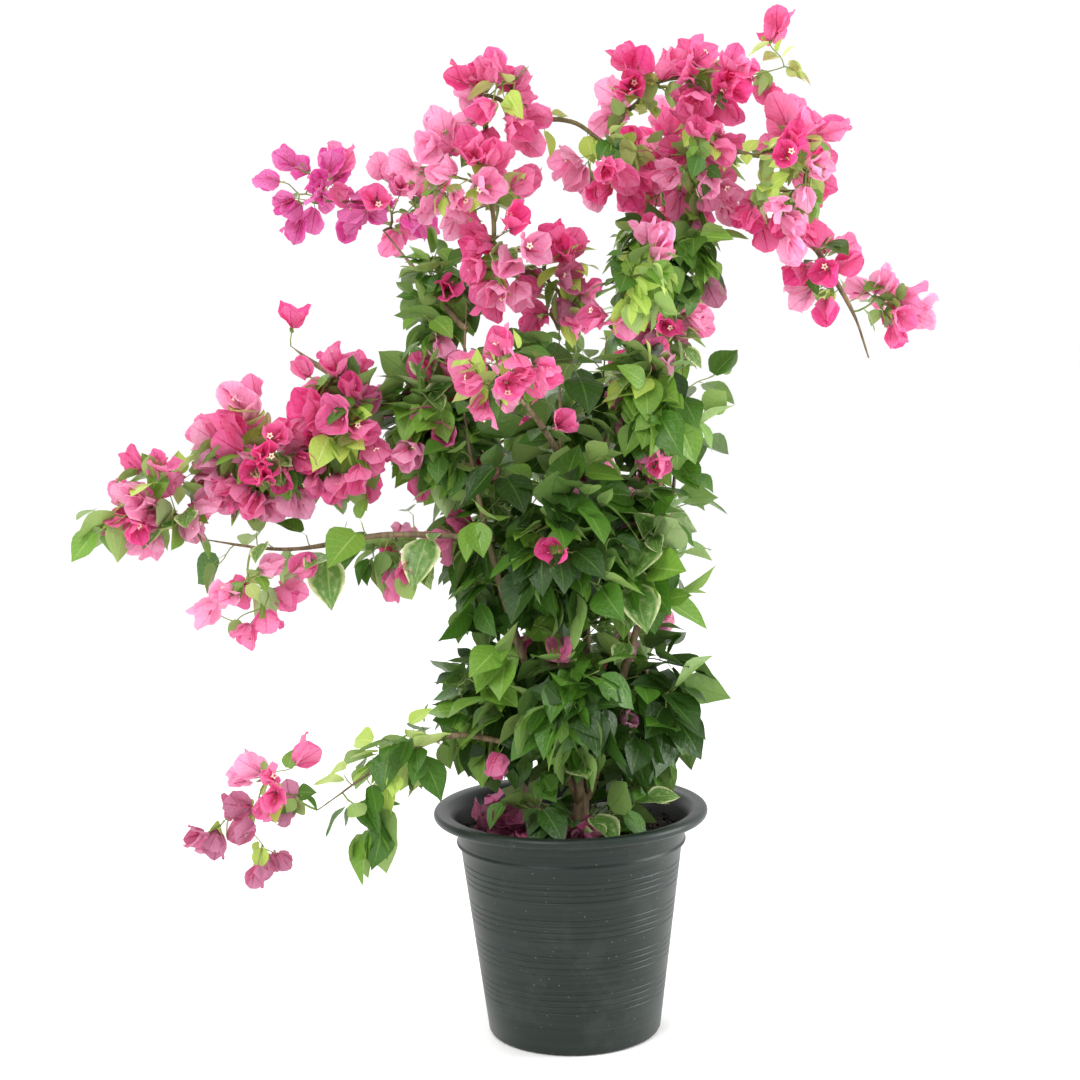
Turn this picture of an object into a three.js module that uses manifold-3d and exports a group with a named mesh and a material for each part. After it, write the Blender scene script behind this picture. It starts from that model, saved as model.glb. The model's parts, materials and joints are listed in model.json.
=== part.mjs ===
// Bougainvillea bush in a round plastic nursery pot. Units are millimetres and +Z is up.
// The origin is the middle of the pot's flat underside, -Y is the front and +X the right.
// The pot, soil, woody limbs and each mass of leaves or flowers are separate closed solids.

import * as THREE from 'three';
import { mergeVertices } from 'three/addons/utils/BufferGeometryUtils.js';
import Module from 'manifold-3d';

const wasm = await Module();
wasm.setup();

// ---- Driving dimensions ----

const GAP = 0.35; // clearance between neighbouring solids
const POT_HEIGHT = 251;
const RIM_RADIUS = 150; // outside of the rolled rim
const RIM_THICKNESS = 11;
const NECK_RADIUS = 127; // body just under the rim
const BAND_DROP = 27; // from the rim's underside to the step below the plain band
const STEP = 3; // the body is this much slimmer below the band
const BASE_RADIUS = 95;
const WALL = 2.6;
const POT_SIDES = 36;
const SOIL_DEPTH_BELOW_RIM = 25;
const SOIL_LEVEL = POT_HEIGHT - SOIL_DEPTH_BELOW_RIM;

const TRUNK_FOOT = [10, -24];
const TRUNK_TOP = [14, -20, SOIL_LEVEL + 42];
const TRUNK_RADIUS = 9;
const FLARE = 6; // how far the root flare stands out at the soil
const STEM_RADIUS = 5.5;
const BOUGH_RADIUS = 3.9;
const TIP_RADIUS = 2;
const LIMB_SIDES = 7;
const LIMB_STEP = 105; // length of one straight facet along a limb

// ---- Materials ----

const finish = (color, roughness) => new THREE.MeshStandardMaterial({ color, roughness });
const potPlastic = finish('#343a39', 0.42);
const soilEarth = finish('#2b221c', 0.95);
const bark = finish('#7b6648', 0.85);
const leafGreen = finish('#3f6f34', 0.55);
const bractPink = finish('#dc3f7c', 0.6);

// ---- Solids ----

function toSolid(geometry) {
  for (const key of ['normal', 'uv']) geometry.deleteAttribute(key);
  const merged = mergeVertices(geometry, 1e-3);
  return new wasm.Manifold(new wasm.Mesh({
    numProp: 3,
    vertProperties: new Float32Array(merged.attributes.position.array),
    triVerts: new Uint32Array(merged.index.array),
  }));
}

function toGeometry(solid) {
  const { vertProperties, triVerts } = solid.getMesh();
  const geometry = new THREE.BufferGeometry();
  geometry.setAttribute('position', new THREE.BufferAttribute(vertProperties, 3));
  geometry.setIndex(new THREE.BufferAttribute(triVerts, 1));
  geometry.computeVertexNormals();
  return geometry;
}

// A cut can leave crumbs, so a piece keeps only its largest body.
function largestBody(solid) {
  return solid.decompose().reduce((best, body) => (body.volume() > best.volume() ? body : best));
}

// ---- Pot and soil ----

// A round solid from [radius, height] pairs that start and end on the axis.
function turned(profile) {
  const points = profile.map(([radius, height]) => new THREE.Vector2(radius, height));
  return toSolid(new THREE.LatheGeometry(points, POT_SIDES).rotateX(Math.PI / 2));
}

const rimUnderside = POT_HEIGHT - RIM_THICKNESS;
const bandFoot = rimUnderside - BAND_DROP;
const bandFootRadius = NECK_RADIUS - 2.5;
const rimInnerRadius = RIM_RADIUS - 16;
const floorTop = 3;

const potSolid = turned([
  [0, 0],
  [BASE_RADIUS - 4, 0],
  [BASE_RADIUS, 4],
  [bandFootRadius - STEP, bandFoot - 3],
  [bandFootRadius, bandFoot],
  [NECK_RADIUS, rimUnderside],
  [RIM_RADIUS - 3, rimUnderside],
  [RIM_RADIUS, rimUnderside + 4],
  [RIM_RADIUS - 3, POT_HEIGHT],
  [rimInnerRadius + 2, POT_HEIGHT],
  [rimInnerRadius - 3, POT_HEIGHT - 4],
  [NECK_RADIUS - WALL, rimUnderside - 5],
  [bandFootRadius - STEP - WALL, bandFoot - 3],
  [BASE_RADIUS - WALL, floorTop],
  [0, floorTop],
]);

// The pot's inner wall radius at a height between its floor and the band's foot.
function innerRadiusAt(height) {
  const along = (height - floorTop) / (bandFoot - 3 - floorTop);
  return THREE.MathUtils.lerp(BASE_RADIUS - WALL, bandFootRadius - STEP - WALL, along);
}

const soilSolid = turned([
  [0, floorTop + GAP],
  [innerRadiusAt(floorTop) - GAP, floorTop + GAP],
  [innerRadiusAt(bandFoot - 3) - GAP, bandFoot - 3],
  [innerRadiusAt(bandFoot - 3) - GAP, SOIL_LEVEL - 4],
  [80, SOIL_LEVEL],
  [0, SOIL_LEVEL],
]);

// ---- Limbs ----

// A tapering round limb along a smooth curve through a few points. thicker adds to its radius,
// for the hollow that a neighbour is cut with, and flare widens its foot in three lobes.
function limb(points, startRadius, endRadius, { thicker = 0, flare = 0, step = LIMB_STEP } = {}) {
  const curve = new THREE.CatmullRomCurve3(points.map((point) => new THREE.Vector3(...point)));
  const steps = Math.max(3, Math.round(curve.getLength() / step));
  const { normals, binormals } = curve.computeFrenetFrames(steps);
  const geometry = new THREE.CylinderGeometry(1, 1, 1, LIMB_SIDES, steps);
  const corners = geometry.attributes.position;
  for (let i = 0; i < corners.count; i += 1) {
    const along = corners.getY(i) + 0.5;
    const ring = Math.round(along * steps);
    const turn = Math.atan2(corners.getZ(i), corners.getX(i));
    const spread = flare * Math.exp(-along / 0.22) * (0.8 + 0.2 * Math.cos(3 * turn));
    const radius = THREE.MathUtils.lerp(startRadius, endRadius, along) + spread + thicker;
    const spot = curve.getPointAt(along)
      .addScaledVector(normals[ring], corners.getX(i) * radius)
      .addScaledVector(binormals[ring], -corners.getZ(i) * radius);
    corners.setXYZ(i, spot.x, spot.y, spot.z);
  }
  return toSolid(geometry);
}

// Everything below the soil's surface, to give the trunk its flat cut.
const belowSoil = toSolid(new THREE.BoxGeometry(400, 400, 200)
  .translate(0, 0, SOIL_LEVEL + GAP - 100));

// Each stem is one of the canes that fork from the trunk and run up through the leaves.
const fork = (dx, dy) => [TRUNK_TOP[0] + dx, TRUNK_TOP[1] + dy, TRUNK_TOP[2] - 4];
const stems = {
  stem_right: [fork(7, 0), [66, -18, 420], [112, 0, 560], [132, 4, 742]],
  stem_left: [fork(-7, -3), [-44, -34, 410], [-84, -36, 560], [-104, -44, 700], [-98, -52, 800]],
  stem_back: [fork(3, 8), [22, 48, 420], [34, 82, 580], [52, 84, 760]],
  stem_middle: [fork(-2, -8), [-6, -48, 420], [-4, -40, 600], [-2, -34, 770]],
};

// Each bough leaves a stem or a mass and ends where it enters the mass it carries.
const boughs = {
  bough_low_left: [[-46, -36, 326], [-122, -50, 342], [-190, -70, 320], [-266, -98, 276]],
  bough_mid_left: [[-86, -40, 552], [-150, -50, 562], [-240, -52, 552], [-322, -56, 546], [-396, -60, 562]],
  bough_upper_left: [[-104, -40, 776], [-134, -4, 812], [-164, 34, 848], [-190, 58, 880]],
  bough_lone_flower: [[-246, -10, 728], [-272, 12, 744], [-292, 28, 758]],
  bough_front: [[-6, -46, 640], [-30, -96, 684], [-60, -150, 718]],
  bough_drooping_right: [[270, 16, 856], [292, 26, 824], [318, 36, 780], [336, 44, 731]],
  bough_back_left: [[24, 66, 520], [-16, 140, 590], [-60, 200, 640]],
  bough_back_right: [[48, 92, 640], [78, 156, 700], [104, 208, 742]],
};

// ---- Masses of leaves and flowers ----

// A bumpy number from -1 to 1 for a direction, from three waves that depend on the seed.
function bump(direction, seed) {
  let sum = 0;
  for (let wave = 1; wave <= 3; wave += 1) {
    const axis = new THREE.Vector3(
      Math.sin(seed * 12.9 + wave * 2.1),
      Math.sin(seed * 7.3 + wave * 4.7),
      Math.sin(seed * 3.1 + wave * 8.3),
    ).normalize();
    sum += Math.sin((1.5 + wave) * direction.dot(axis) * 2 + seed * wave);
  }
  return sum / 3;
}

// An uneven egg of width, depth and height 2 * size, leaned about Y by lean degrees.
const UNEVENNESS = 0.13;
function lump({ at, size, lean = 0, fine = false }, seed, thicker = 0) {
  const geometry = new THREE.IcosahedronGeometry(1, fine ? 2 : 1);
  const corners = geometry.attributes.position;
  const [width, depth, height] = size;
  const centre = new THREE.Vector3(...at);
  const tilt = new THREE.Matrix4().makeRotationY(THREE.MathUtils.degToRad(lean));
  for (let i = 0; i < corners.count; i += 1) {
    const direction = new THREE.Vector3().fromBufferAttribute(corners, i);
    const reach = 1 + UNEVENNESS * bump(direction, seed);
    const spot = new THREE.Vector3(
      direction.x * (width * reach + thicker),
      direction.y * (depth * reach + thicker),
      direction.z * (height * reach + thicker),
    ).applyMatrix4(tilt).add(centre);
    corners.setXYZ(i, spot.x, spot.y, spot.z);
  }
  return toSolid(geometry);
}

// Centre, half sizes and lean of every mass, from the foot of the plant upwards. A bloom mass is
// mostly flowers, and a leaves mass is mostly leaves. fine gives a large one smaller facets.
const masses = {
  // The dense column of leaves above the pot.
  leaves_low_right: { at: [80, -6, 362], size: [62, 76, 92], fine: true },
  leaves_low_left: { at: [-82, 8, 364], size: [66, 80, 88], lean: -4, fine: true },
  leaves_low_front: { at: [2, -90, 392], size: [68, 46, 82], fine: true },
  leaves_low_back: { at: [8, 94, 360], size: [82, 52, 94] },
  leaves_mid_right: { at: [82, -4, 534], size: [60, 80, 92], lean: 4, fine: true },
  leaves_mid_left: { at: [-78, 6, 528], size: [64, 80, 90], lean: -3 },
  leaves_mid_front: { at: [6, -92, 550], size: [76, 44, 86], fine: true },
  leaves_mid_back: { at: [14, 100, 542], size: [86, 54, 96] },
  leaves_high_right: { at: [98, -4, 684], size: [52, 76, 80], lean: 4 },
  leaves_high_left: { at: [-134, -6, 670], size: [68, 74, 84], lean: -18, fine: true },
  leaves_high_back: { at: [12, 102, 636], size: [80, 56, 62] },
  bloom_front: { at: [-64, -170, 732], size: [58, 42, 42], lean: 8 },

  // The low arm over the left of the pot.
  leaves_arm_low: { at: [-178, -64, 328], size: [48, 40, 42], lean: -18 },
  leaves_arm_low_hanging: { at: [-218, -78, 264], size: [30, 30, 46] },
  bloom_arm_low: { at: [-304, -104, 304], size: [54, 46, 42], lean: -24 },
  bloom_arm_low_tip: { at: [-366, -120, 268], size: [22, 20, 24], lean: 30 },
  bloom_arm_low_hanging: { at: [-318, -112, 236], size: [19, 18, 21] },

  // The long arm at half height on the left, and a single flower above it.
  leaves_arm_mid_root: { at: [-182, -36, 534], size: [48, 42, 40], lean: 14 },
  bloom_arm_mid_inner: { at: [-230, -28, 668], size: [54, 60, 82], lean: -6 },
  bloom_arm_mid: { at: [-318, -48, 644], size: [66, 58, 64], lean: 20 },
  bloom_arm_mid_outer: { at: [-422, -62, 602], size: [58, 50, 54], lean: 20 },
  leaves_arm_mid_tip: { at: [-484, -70, 582], size: [22, 24, 34] },
  bloom_arm_mid_hanging: { at: [-330, -90, 502], size: [72, 42, 44], lean: -22 },
  bloom_lone: { at: [-292, 30, 768], size: [18, 18, 25] },

  // The upper left arm and the flowers at the top, left of the gap.
  bloom_arm_high_outer: { at: [-266, 110, 932], size: [58, 48, 40], lean: 10 },
  bloom_arm_high_inner: { at: [-180, 66, 902], size: [50, 48, 54], lean: 28 },
  leaves_left_top: { at: [-130, -10, 806], size: [44, 58, 76], lean: 4 },
  bloom_top: { at: [-60, -52, 1000], size: [38, 44, 54], lean: 6 },
  bloom_top_mid: { at: [-92, -58, 926], size: [66, 52, 54], lean: 18 },
  bloom_top_low: { at: [-62, -86, 848], size: [36, 38, 56], lean: 2 },
  bloom_top_side: { at: [-6, -6, 986], size: [20, 24, 28] },

  // The tall dome on the right.
  bloom_gap: { at: [0, -44, 816], size: [46, 44, 60], lean: 6 },
  leaves_dome_under: { at: [110, 4, 838], size: [76, 80, 66], lean: -10, fine: true },
  bloom_dome_front: { at: [82, -112, 820], size: [44, 32, 66], lean: 4 },
  bloom_dome_left: { at: [60, 0, 942], size: [56, 66, 42], lean: -12 },
  bloom_dome_ridge: { at: [92, 14, 1014], size: [48, 52, 38], lean: -22 },
  bloom_dome_crest: { at: [160, 0, 1028], size: [48, 54, 42] },
  bloom_dome_mid: { at: [152, -10, 944], size: [50, 78, 50] },
  bloom_dome_right: { at: [238, -22, 924], size: [52, 72, 82], lean: 14, fine: true },
  bloom_dome_tip: { at: [230, 22, 1050], size: [31, 30, 46], lean: 12 },
  bloom_dome_back: { at: [138, 122, 940], size: [78, 64, 70] },

  // The spray that droops on the right.
  bloom_droop: { at: [288, 30, 828], size: [42, 38, 48], lean: 20 },
  bloom_droop_outer: { at: [358, 58, 790], size: [56, 34, 33], lean: 24 },

  // The arms behind, which fill the crown out from the other sides.
  bloom_back_left: { at: [-72, 216, 662], size: [68, 56, 62] },
  bloom_back_right: { at: [108, 226, 764], size: [66, 58, 64] },
};

// ---- Assembly ----

const bush = new THREE.Group();
const placed = []; // the swollen form of every solid placed so far

function add(name, solid, material) {
  const mesh = new THREE.Mesh(toGeometry(solid), material);
  mesh.name = name;
  bush.add(mesh);
}

function boxesMeet(a, b) {
  return [0, 1, 2].every((axis) => a.min[axis] <= b.max[axis] && b.min[axis] <= a.max[axis]);
}

// Cuts a solid by the swollen forms of everything that was placed before it, then places it.
function place(name, solid, swollen, material) {
  const box = solid.boundingBox();
  const neighbours = placed.filter((other) => boxesMeet(box, other.boundingBox()));
  const cut = neighbours.reduce((rest, other) => rest.subtract(other), solid);
  placed.push(swollen);
  add(name, neighbours.length ? largestBody(cut) : solid, material);
}

add('pot', potSolid, potPlastic);
add('soil', soilSolid, soilEarth);

const trunkPath = [[...TRUNK_FOOT, SOIL_LEVEL - 10], [...TRUNK_FOOT, SOIL_LEVEL + 12], TRUNK_TOP];
const trunk = (thicker) => (
  limb(trunkPath, TRUNK_RADIUS, STEM_RADIUS + 2, { thicker, flare: FLARE, step: 9 })
);
place('trunk', trunk(0).subtract(belowSoil), trunk(GAP), bark);

function placeLimb(name, points, radius) {
  const cane = (thicker) => limb(points, radius, TIP_RADIUS, { thicker });
  place(name, cane(0), cane(GAP), bark);
}
for (const [name, points] of Object.entries(stems)) placeLimb(name, points, STEM_RADIUS);
for (const [name, points] of Object.entries(boughs)) placeLimb(name, points, BOUGH_RADIUS);

Object.entries(masses).forEach(([name, mass], index) => {
  const material = name.startsWith('bloom') ? bractPink : leafGreen;
  place(name, lump(mass, index + 1), lump(mass, index + 1, GAP), material);
});

export default bush;
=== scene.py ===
# %% [markdown]
# # A bougainvillea bush in a nursery pot
# The plant is a clump of woody canes in a round plastic pot. Every cane carries twigs, drooping leaves
# and papery pink bracts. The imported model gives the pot, the soil, the main canes and one closed
# solid for each mass of foliage. This script reads those solids and grows the real plant inside them.

import json
import math

import bpy
import numpy as np
from mathutils import Matrix, Vector
from mathutils.bvhtree import BVHTree

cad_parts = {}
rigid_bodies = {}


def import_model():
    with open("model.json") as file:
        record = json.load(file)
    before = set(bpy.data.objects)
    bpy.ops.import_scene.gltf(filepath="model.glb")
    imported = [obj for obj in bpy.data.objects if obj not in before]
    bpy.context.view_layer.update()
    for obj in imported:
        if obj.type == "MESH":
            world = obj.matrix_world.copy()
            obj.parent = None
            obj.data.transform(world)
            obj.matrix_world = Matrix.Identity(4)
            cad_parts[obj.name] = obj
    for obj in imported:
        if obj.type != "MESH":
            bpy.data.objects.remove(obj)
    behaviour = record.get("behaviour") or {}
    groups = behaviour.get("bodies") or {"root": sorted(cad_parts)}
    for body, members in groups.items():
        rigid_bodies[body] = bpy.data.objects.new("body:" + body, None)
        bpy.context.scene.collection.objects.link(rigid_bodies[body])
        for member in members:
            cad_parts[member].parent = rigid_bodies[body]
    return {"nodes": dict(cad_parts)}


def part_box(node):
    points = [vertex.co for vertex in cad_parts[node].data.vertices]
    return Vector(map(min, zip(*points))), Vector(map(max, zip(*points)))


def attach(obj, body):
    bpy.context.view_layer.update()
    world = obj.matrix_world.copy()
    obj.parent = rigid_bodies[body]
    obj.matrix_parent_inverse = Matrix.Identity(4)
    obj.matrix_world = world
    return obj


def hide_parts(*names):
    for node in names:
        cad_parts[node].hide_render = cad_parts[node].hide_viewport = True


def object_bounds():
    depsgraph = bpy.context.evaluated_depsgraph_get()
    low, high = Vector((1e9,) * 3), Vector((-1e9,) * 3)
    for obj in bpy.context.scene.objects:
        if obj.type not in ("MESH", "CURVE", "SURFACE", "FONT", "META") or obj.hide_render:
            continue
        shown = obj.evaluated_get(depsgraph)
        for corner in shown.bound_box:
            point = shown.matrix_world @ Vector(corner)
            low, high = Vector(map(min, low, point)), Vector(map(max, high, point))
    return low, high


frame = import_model()
cad_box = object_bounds()
nodes = frame["nodes"]
masses = sorted(name for name in nodes if name.startswith(("leaves_", "bloom_")))
limbs = ["trunk"] + sorted(name for name in nodes if name.startswith(("stem_", "bough_")))
print("frame:", len(masses), "masses,", len(limbs), "limbs")

# %% [markdown]
# ## Working units and the one source of chance
# Millimetres suit a plant, and Blender counts in metres, so one constant turns the first into the
# second. Everything that varies draws from one seeded generator, so each run grows the same bush.

# %% Units and chance
MM = 0.001
SEED = 23
chance = np.random.default_rng(SEED)
UP = np.array([0.0, 0.0, 1.0])


def unit(vectors):
    """The same vectors, each with a length of one."""
    length = np.linalg.norm(vectors, axis=-1, keepdims=True)
    return vectors / np.maximum(length, 1e-9)


def jitter(amount, shape=3):
    """Random offsets, each about as large as amount."""
    return chance.normal(0, amount, shape)


print("one millimetre is", MM, "and the seed is", SEED)

# %% [markdown]
# ## Camera, floor and light
# The bush is seen from a little above its middle, from two metres away, which is how a person holds
# a camera in front of it. The lens is a short telephoto, and the camera leans by one degree.

# %% Camera
EYE = Vector((-0.027, -2.146, 0.793))
LOOK_DOWN = math.radians(6.62)
LEAN = math.radians(1.26)
FILM_WIDTH, LENS = 36, 66.67
bpy.ops.object.camera_add()
camera = bpy.context.object
camera.data.sensor_width = FILM_WIDTH
camera.data.lens = LENS
tilt = Matrix.Rotation(math.pi / 2 - LOOK_DOWN, 4, "X") @ Matrix.Rotation(-LEAN, 4, "Z")
camera.matrix_world = Matrix.Translation(EYE) @ tilt
bpy.context.scene.camera = camera
print("camera: lens", LENS, "mm, eye at", tuple(EYE))

# %% [markdown]
# The light is that of a bright hazy day: a white sky from all sides and a very soft key from the
# upper left. A window on each side draws a long highlight down the pot, and a lamp behind lifts the
# edges of the crown. A sharp sun would cut the thousands of small leaves into noise.

# %% Light and floor
LIGHTS = (
    # name, place, width in metres, watts, what it is aimed at
    ("key", (-1.4, -2.2, 3.0), 1.6, 66, (0, 0, 0.6)),
    ("window_right", (2.3, -0.1, 0.9), 1.3, 52, (0, 0, 0.45)),
    ("window_left", (-2.6, -0.5, 0.8), 0.9, 9, (0, 0, 0.3)),
    ("rim", (-0.8, 2.4, 2.6), 1.6, 30, (0, 0, 0.6)),
)
SKY_STRENGTH = 1.05
FLOOR_SIZE = 60


def area_light(name, place, size, watts, target):
    bpy.ops.object.light_add(type="AREA", location=place)
    lamp = bpy.context.object
    lamp.name = name
    lamp.data.size = size
    lamp.data.energy = watts
    lamp.rotation_euler = (Vector(target) - Vector(place)).to_track_quat("-Z", "Y").to_euler()


for light in LIGHTS:
    area_light(*light)

world = bpy.data.worlds.new("hazy_sky")
bpy.context.scene.world = world
world.use_nodes = True
sky = world.node_tree.nodes["Background"]
sky.inputs["Color"].default_value = (1, 1, 1, 1)
sky.inputs["Strength"].default_value = SKY_STRENGTH
bpy.context.scene.view_settings.view_transform = "Standard"

bpy.ops.mesh.primitive_plane_add(size=FLOOR_SIZE)
floor = bpy.context.object
floor.name = "floor"
print("light:", len(LIGHTS), "soft areas and a white sky")

# %% [markdown]
# ## Materials
# A few small helpers make every material. Colours are written as the sRGB hex that a colour picker
# shows, and turned into the linear light that a renderer adds up. One function adds any node: its
# settings go in by name or by socket number, and its links come in by name or as i0, i1 and so on.


# %% Material helpers
def linear(hex_colour):
    """An sRGB hex colour as the linear RGBA that Blender's sockets take."""
    parts = [int(hex_colour[i : i + 2], 16) / 255 for i in (1, 3, 5)]
    return (*[p / 12.92 if p <= 0.04045 else ((p + 0.055) / 1.055) ** 2.4 for p in parts], 1.0)


def new_material(name, colour, roughness, ior=1.45):
    """A material and its Principled shader, with the values that are the same all over it."""
    material = bpy.data.materials.new(name)
    material.use_nodes = True
    shader = material.node_tree.nodes["Principled BSDF"]
    shader.inputs["Base Color"].default_value = linear(colour)
    shader.inputs["Roughness"].default_value = roughness
    shader.inputs["IOR"].default_value = ior
    return material, shader


def add(material, kind, settings=None, **links):
    """Adds a node: settings are its properties or sockets, links feed its sockets by name or number."""
    node = material.node_tree.nodes.new("ShaderNode" + kind)
    for key, value in (settings or {}).items():
        if hasattr(node, str(key)):
            setattr(node, key, value)
        else:
            node.inputs[key].default_value = value
    for key, source in links.items():
        socket = node.inputs[int(key[1:])] if key[0] == "i" and key[1:].isdigit() else node.inputs[key]
        material.node_tree.links.new(source, socket)
    return node


def join(material, source, socket):
    material.node_tree.links.new(source, socket)


# A Mix node set to colours takes them in its sockets 6 and 7 and gives the mixed one in output 2.
RGBA = {"data_type": "RGBA"}
floor_paint, _ = new_material("matt_white_paint", "#fbfbfa", 0.8)
floor.data.materials.append(floor_paint)
print("material:", floor_paint.name)

# %% [markdown]
# ### Moulded polypropylene
# The pot is black polypropylene with a grey-green cast. Moulding leaves it satin: smooth enough for
# a long soft highlight, dull enough that nothing is mirrored. Faint streaks run round it where the
# tool turned, and dust and dried splashes pale it in places.

# %% Pot plastic
# Repeats in a metre: dust lies in patches about 70 mm across, dried splashes are 10 mm apart, and the
# streaks are 2.4 mm high and up to 170 mm long.
DUST_REPEATS, SPLASH_REPEATS, STREAK_REPEATS = 14.0, 95.0, (6, 6, 420)
pot_plastic, shader = new_material("moulded_polypropylene", "#14201b", 0.4, 1.49)
shader.inputs["Specular IOR Level"].default_value = 0.3
place = add(pot_plastic, "TexCoord").outputs["Object"]
streak_space = add(pot_plastic, "Mapping", {"Scale": STREAK_REPEATS}, Vector=place).outputs[0]
streaks = add(pot_plastic, "TexNoise", {"Scale": 1.0, "Detail": 3.0}, Vector=streak_space)
patchy = {"Scale": DUST_REPEATS, "Detail": 6.0, "Roughness": 0.7}
dust = add(pot_plastic, "TexNoise", patchy, Vector=place)
dusty_part = {"From Min": 0.5, "From Max": 0.8, "To Max": 0.4}
dust_amount = add(pot_plastic, "MapRange", dusty_part, Value=dust.outputs["Fac"]).outputs[0]
tone = add(pot_plastic, "ValToRGB", Fac=streaks.outputs["Fac"])
tone.color_ramp.elements[0].color = linear("#111c17")
tone.color_ramp.elements[0].position = 0.3
tone.color_ramp.elements[1].color = linear("#1e2924")
tone.color_ramp.elements[1].position = 0.72
dust_colour = {**RGBA, 7: linear("#4b4f48")}
dusted = add(pot_plastic, "Mix", dust_colour, Factor=dust_amount, i6=tone.outputs["Color"])
cells = add(pot_plastic, "TexVoronoi", {"Scale": SPLASH_REPEATS}, Vector=place)
small_dots = {"From Min": 0.1, "From Max": 0.02, "To Max": 0.5}
splashes = add(pot_plastic, "MapRange", small_dots, Value=cells.outputs["Distance"]).outputs[0]
splash_colour = {**RGBA, 7: linear("#7d8176")}
splashed = add(pot_plastic, "Mix", splash_colour, Factor=splashes, i6=dusted.outputs[2])
join(pot_plastic, splashed.outputs[2], shader.inputs["Base Color"])
print("pot colour: streaks, dust and dried splashes")

# %% [markdown]
# Dust also dulls the plastic, so the same noise drives its roughness. The relief has two layers: the
# fine grain of the mould, and on it the shallow ribs that go with the streaks.

# %% Pot gloss and relief
# The grain of a mould is a tenth of a millimetre. It is drawn at 1.1 mm, so that it shows.
GRAIN_REPEATS = 900.0
gloss = add(pot_plastic, "MapRange", {"To Min": 0.3, "To Max": 0.48}, Value=dust.outputs["Fac"])
join(pot_plastic, gloss.outputs[0], shader.inputs["Roughness"])
grain = add(pot_plastic, "TexNoise", {"Scale": GRAIN_REPEATS, "Detail": 2.0}, Vector=place)
skin_depth = {"Strength": 0.12, "Distance": 0.0004}
skin = add(pot_plastic, "Bump", skin_depth, Height=grain.outputs["Fac"]).outputs[0]
rib_depth = {"Strength": 0.25, "Distance": 0.0006}
ribs = add(pot_plastic, "Bump", rib_depth, Height=streaks.outputs["Fac"], Normal=skin)
join(pot_plastic, ribs.outputs[0], shader.inputs["Normal"])
print("material:", pot_plastic.name)

# %% [markdown]
# ### Soil and bark
# Damp peat is almost black with brown crumbs. Bark on young canes is grey-brown with a green cast and
# fine cracks that run lengthwise.


# %% Soil and bark
def earthy(name, dark, light, roughness, size_mm, stretch=(1, 1, 1), depth_mm=0.6):
    """A rough mottled material: two tones dealt by a noise whose patches are size_mm across."""
    material, shader = new_material(name, light, roughness)
    place = add(material, "TexCoord").outputs["Object"]
    space = add(material, "Mapping", {"Scale": stretch}, Vector=place).outputs[0]
    mottling = {"Scale": 1000 / size_mm, "Detail": 7.0, "Roughness": 0.65}
    noise = add(material, "TexNoise", mottling, Vector=space)
    ramp = add(material, "ValToRGB", Fac=noise.outputs["Fac"])
    ramp.color_ramp.elements[0].position = 0.32
    ramp.color_ramp.elements[0].color = linear(dark)
    ramp.color_ramp.elements[1].position = 0.7
    ramp.color_ramp.elements[1].color = linear(light)
    join(material, ramp.outputs["Color"], shader.inputs["Base Color"])
    relief = {"Strength": 0.6, "Distance": depth_mm * MM}
    bump = add(material, "Bump", relief, Height=noise.outputs["Fac"])
    join(material, bump.outputs[0], shader.inputs["Normal"])
    return material


peat = earthy("damp_peat", "#0f0b08", "#2c2018", 0.95, 9, depth_mm=1.5)
crumb_earth = earthy("peat_crumbs", "#18110d", "#3d2d21", 0.95, 4)
old_bark = earthy("cane_bark", "#4d4030", "#93805f", 0.82, 5, stretch=(1, 1, 0.25))
twig_bark = earthy("twig_bark", "#4b4a2c", "#7d7346", 0.75, 4, stretch=(1, 1, 0.3), depth_mm=0.2)
green_stalk, _ = new_material("green_stalk", "#7f9448", 0.5)
print("materials:", peat.name, crumb_earth.name, old_bark.name, twig_bark.name, green_stalk.name)

# %% [markdown]
# ### Leaves and bracts
# A leaf and a bract are both thin blades. Every blade has the same UV map: U runs across from edge to
# edge and V from the stalk to the tip. Midrib, side veins and margin are drawn in that map, so the
# pattern sits right on every blade and needs no image. Side veins leave the midrib and sweep towards
# the tip, so their phase falls with the distance out.

# %% Veins
UV_MAP = "OFBake"
SWEEP = 0.55
# Shares of a blade's width. A real midrib is 1 mm wide, and it is drawn twice as wide so that it shows.
MIDRIB_EDGE, MIDRIB_CORE = 0.035, 0.008


def vein_lines(material, uv, veins):
    """The distance from the midrib, and a value that is high on the midrib and on the side veins."""
    split = add(material, "SeparateXYZ", i0=uv)
    across = add(material, "Math", {"operation": "SUBTRACT", 1: 0.5}, i0=split.outputs[0]).outputs[0]
    side = add(material, "Math", {"operation": "ABSOLUTE"}, i0=across).outputs[0]
    swept = add(material, "Math", {"operation": "MULTIPLY", 1: SWEEP}, i0=side).outputs[0]
    phase = add(material, "Math", {"operation": "SUBTRACT"}, i0=split.outputs[1], i1=swept).outputs[0]
    turns = add(material, "Math", {"operation": "MULTIPLY", 1: float(veins)}, i0=phase).outputs[0]
    wave = add(material, "Math", {"operation": "PINGPONG", 1: 0.5}, i0=turns).outputs[0]
    thin_line = {"From Min": 0.07, "From Max": 0.0, "To Max": 0.55}
    side_veins = add(material, "MapRange", thin_line, Value=wave).outputs[0]
    thick_line = {"From Min": MIDRIB_EDGE, "From Max": MIDRIB_CORE}
    midrib = add(material, "MapRange", thick_line, Value=side).outputs[0]
    lines = add(material, "Math", {"operation": "MAXIMUM"}, i0=side_veins, i1=midrib).outputs[0]
    return side, lines


print("veins are drawn in the UV map", UV_MAP)

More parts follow.
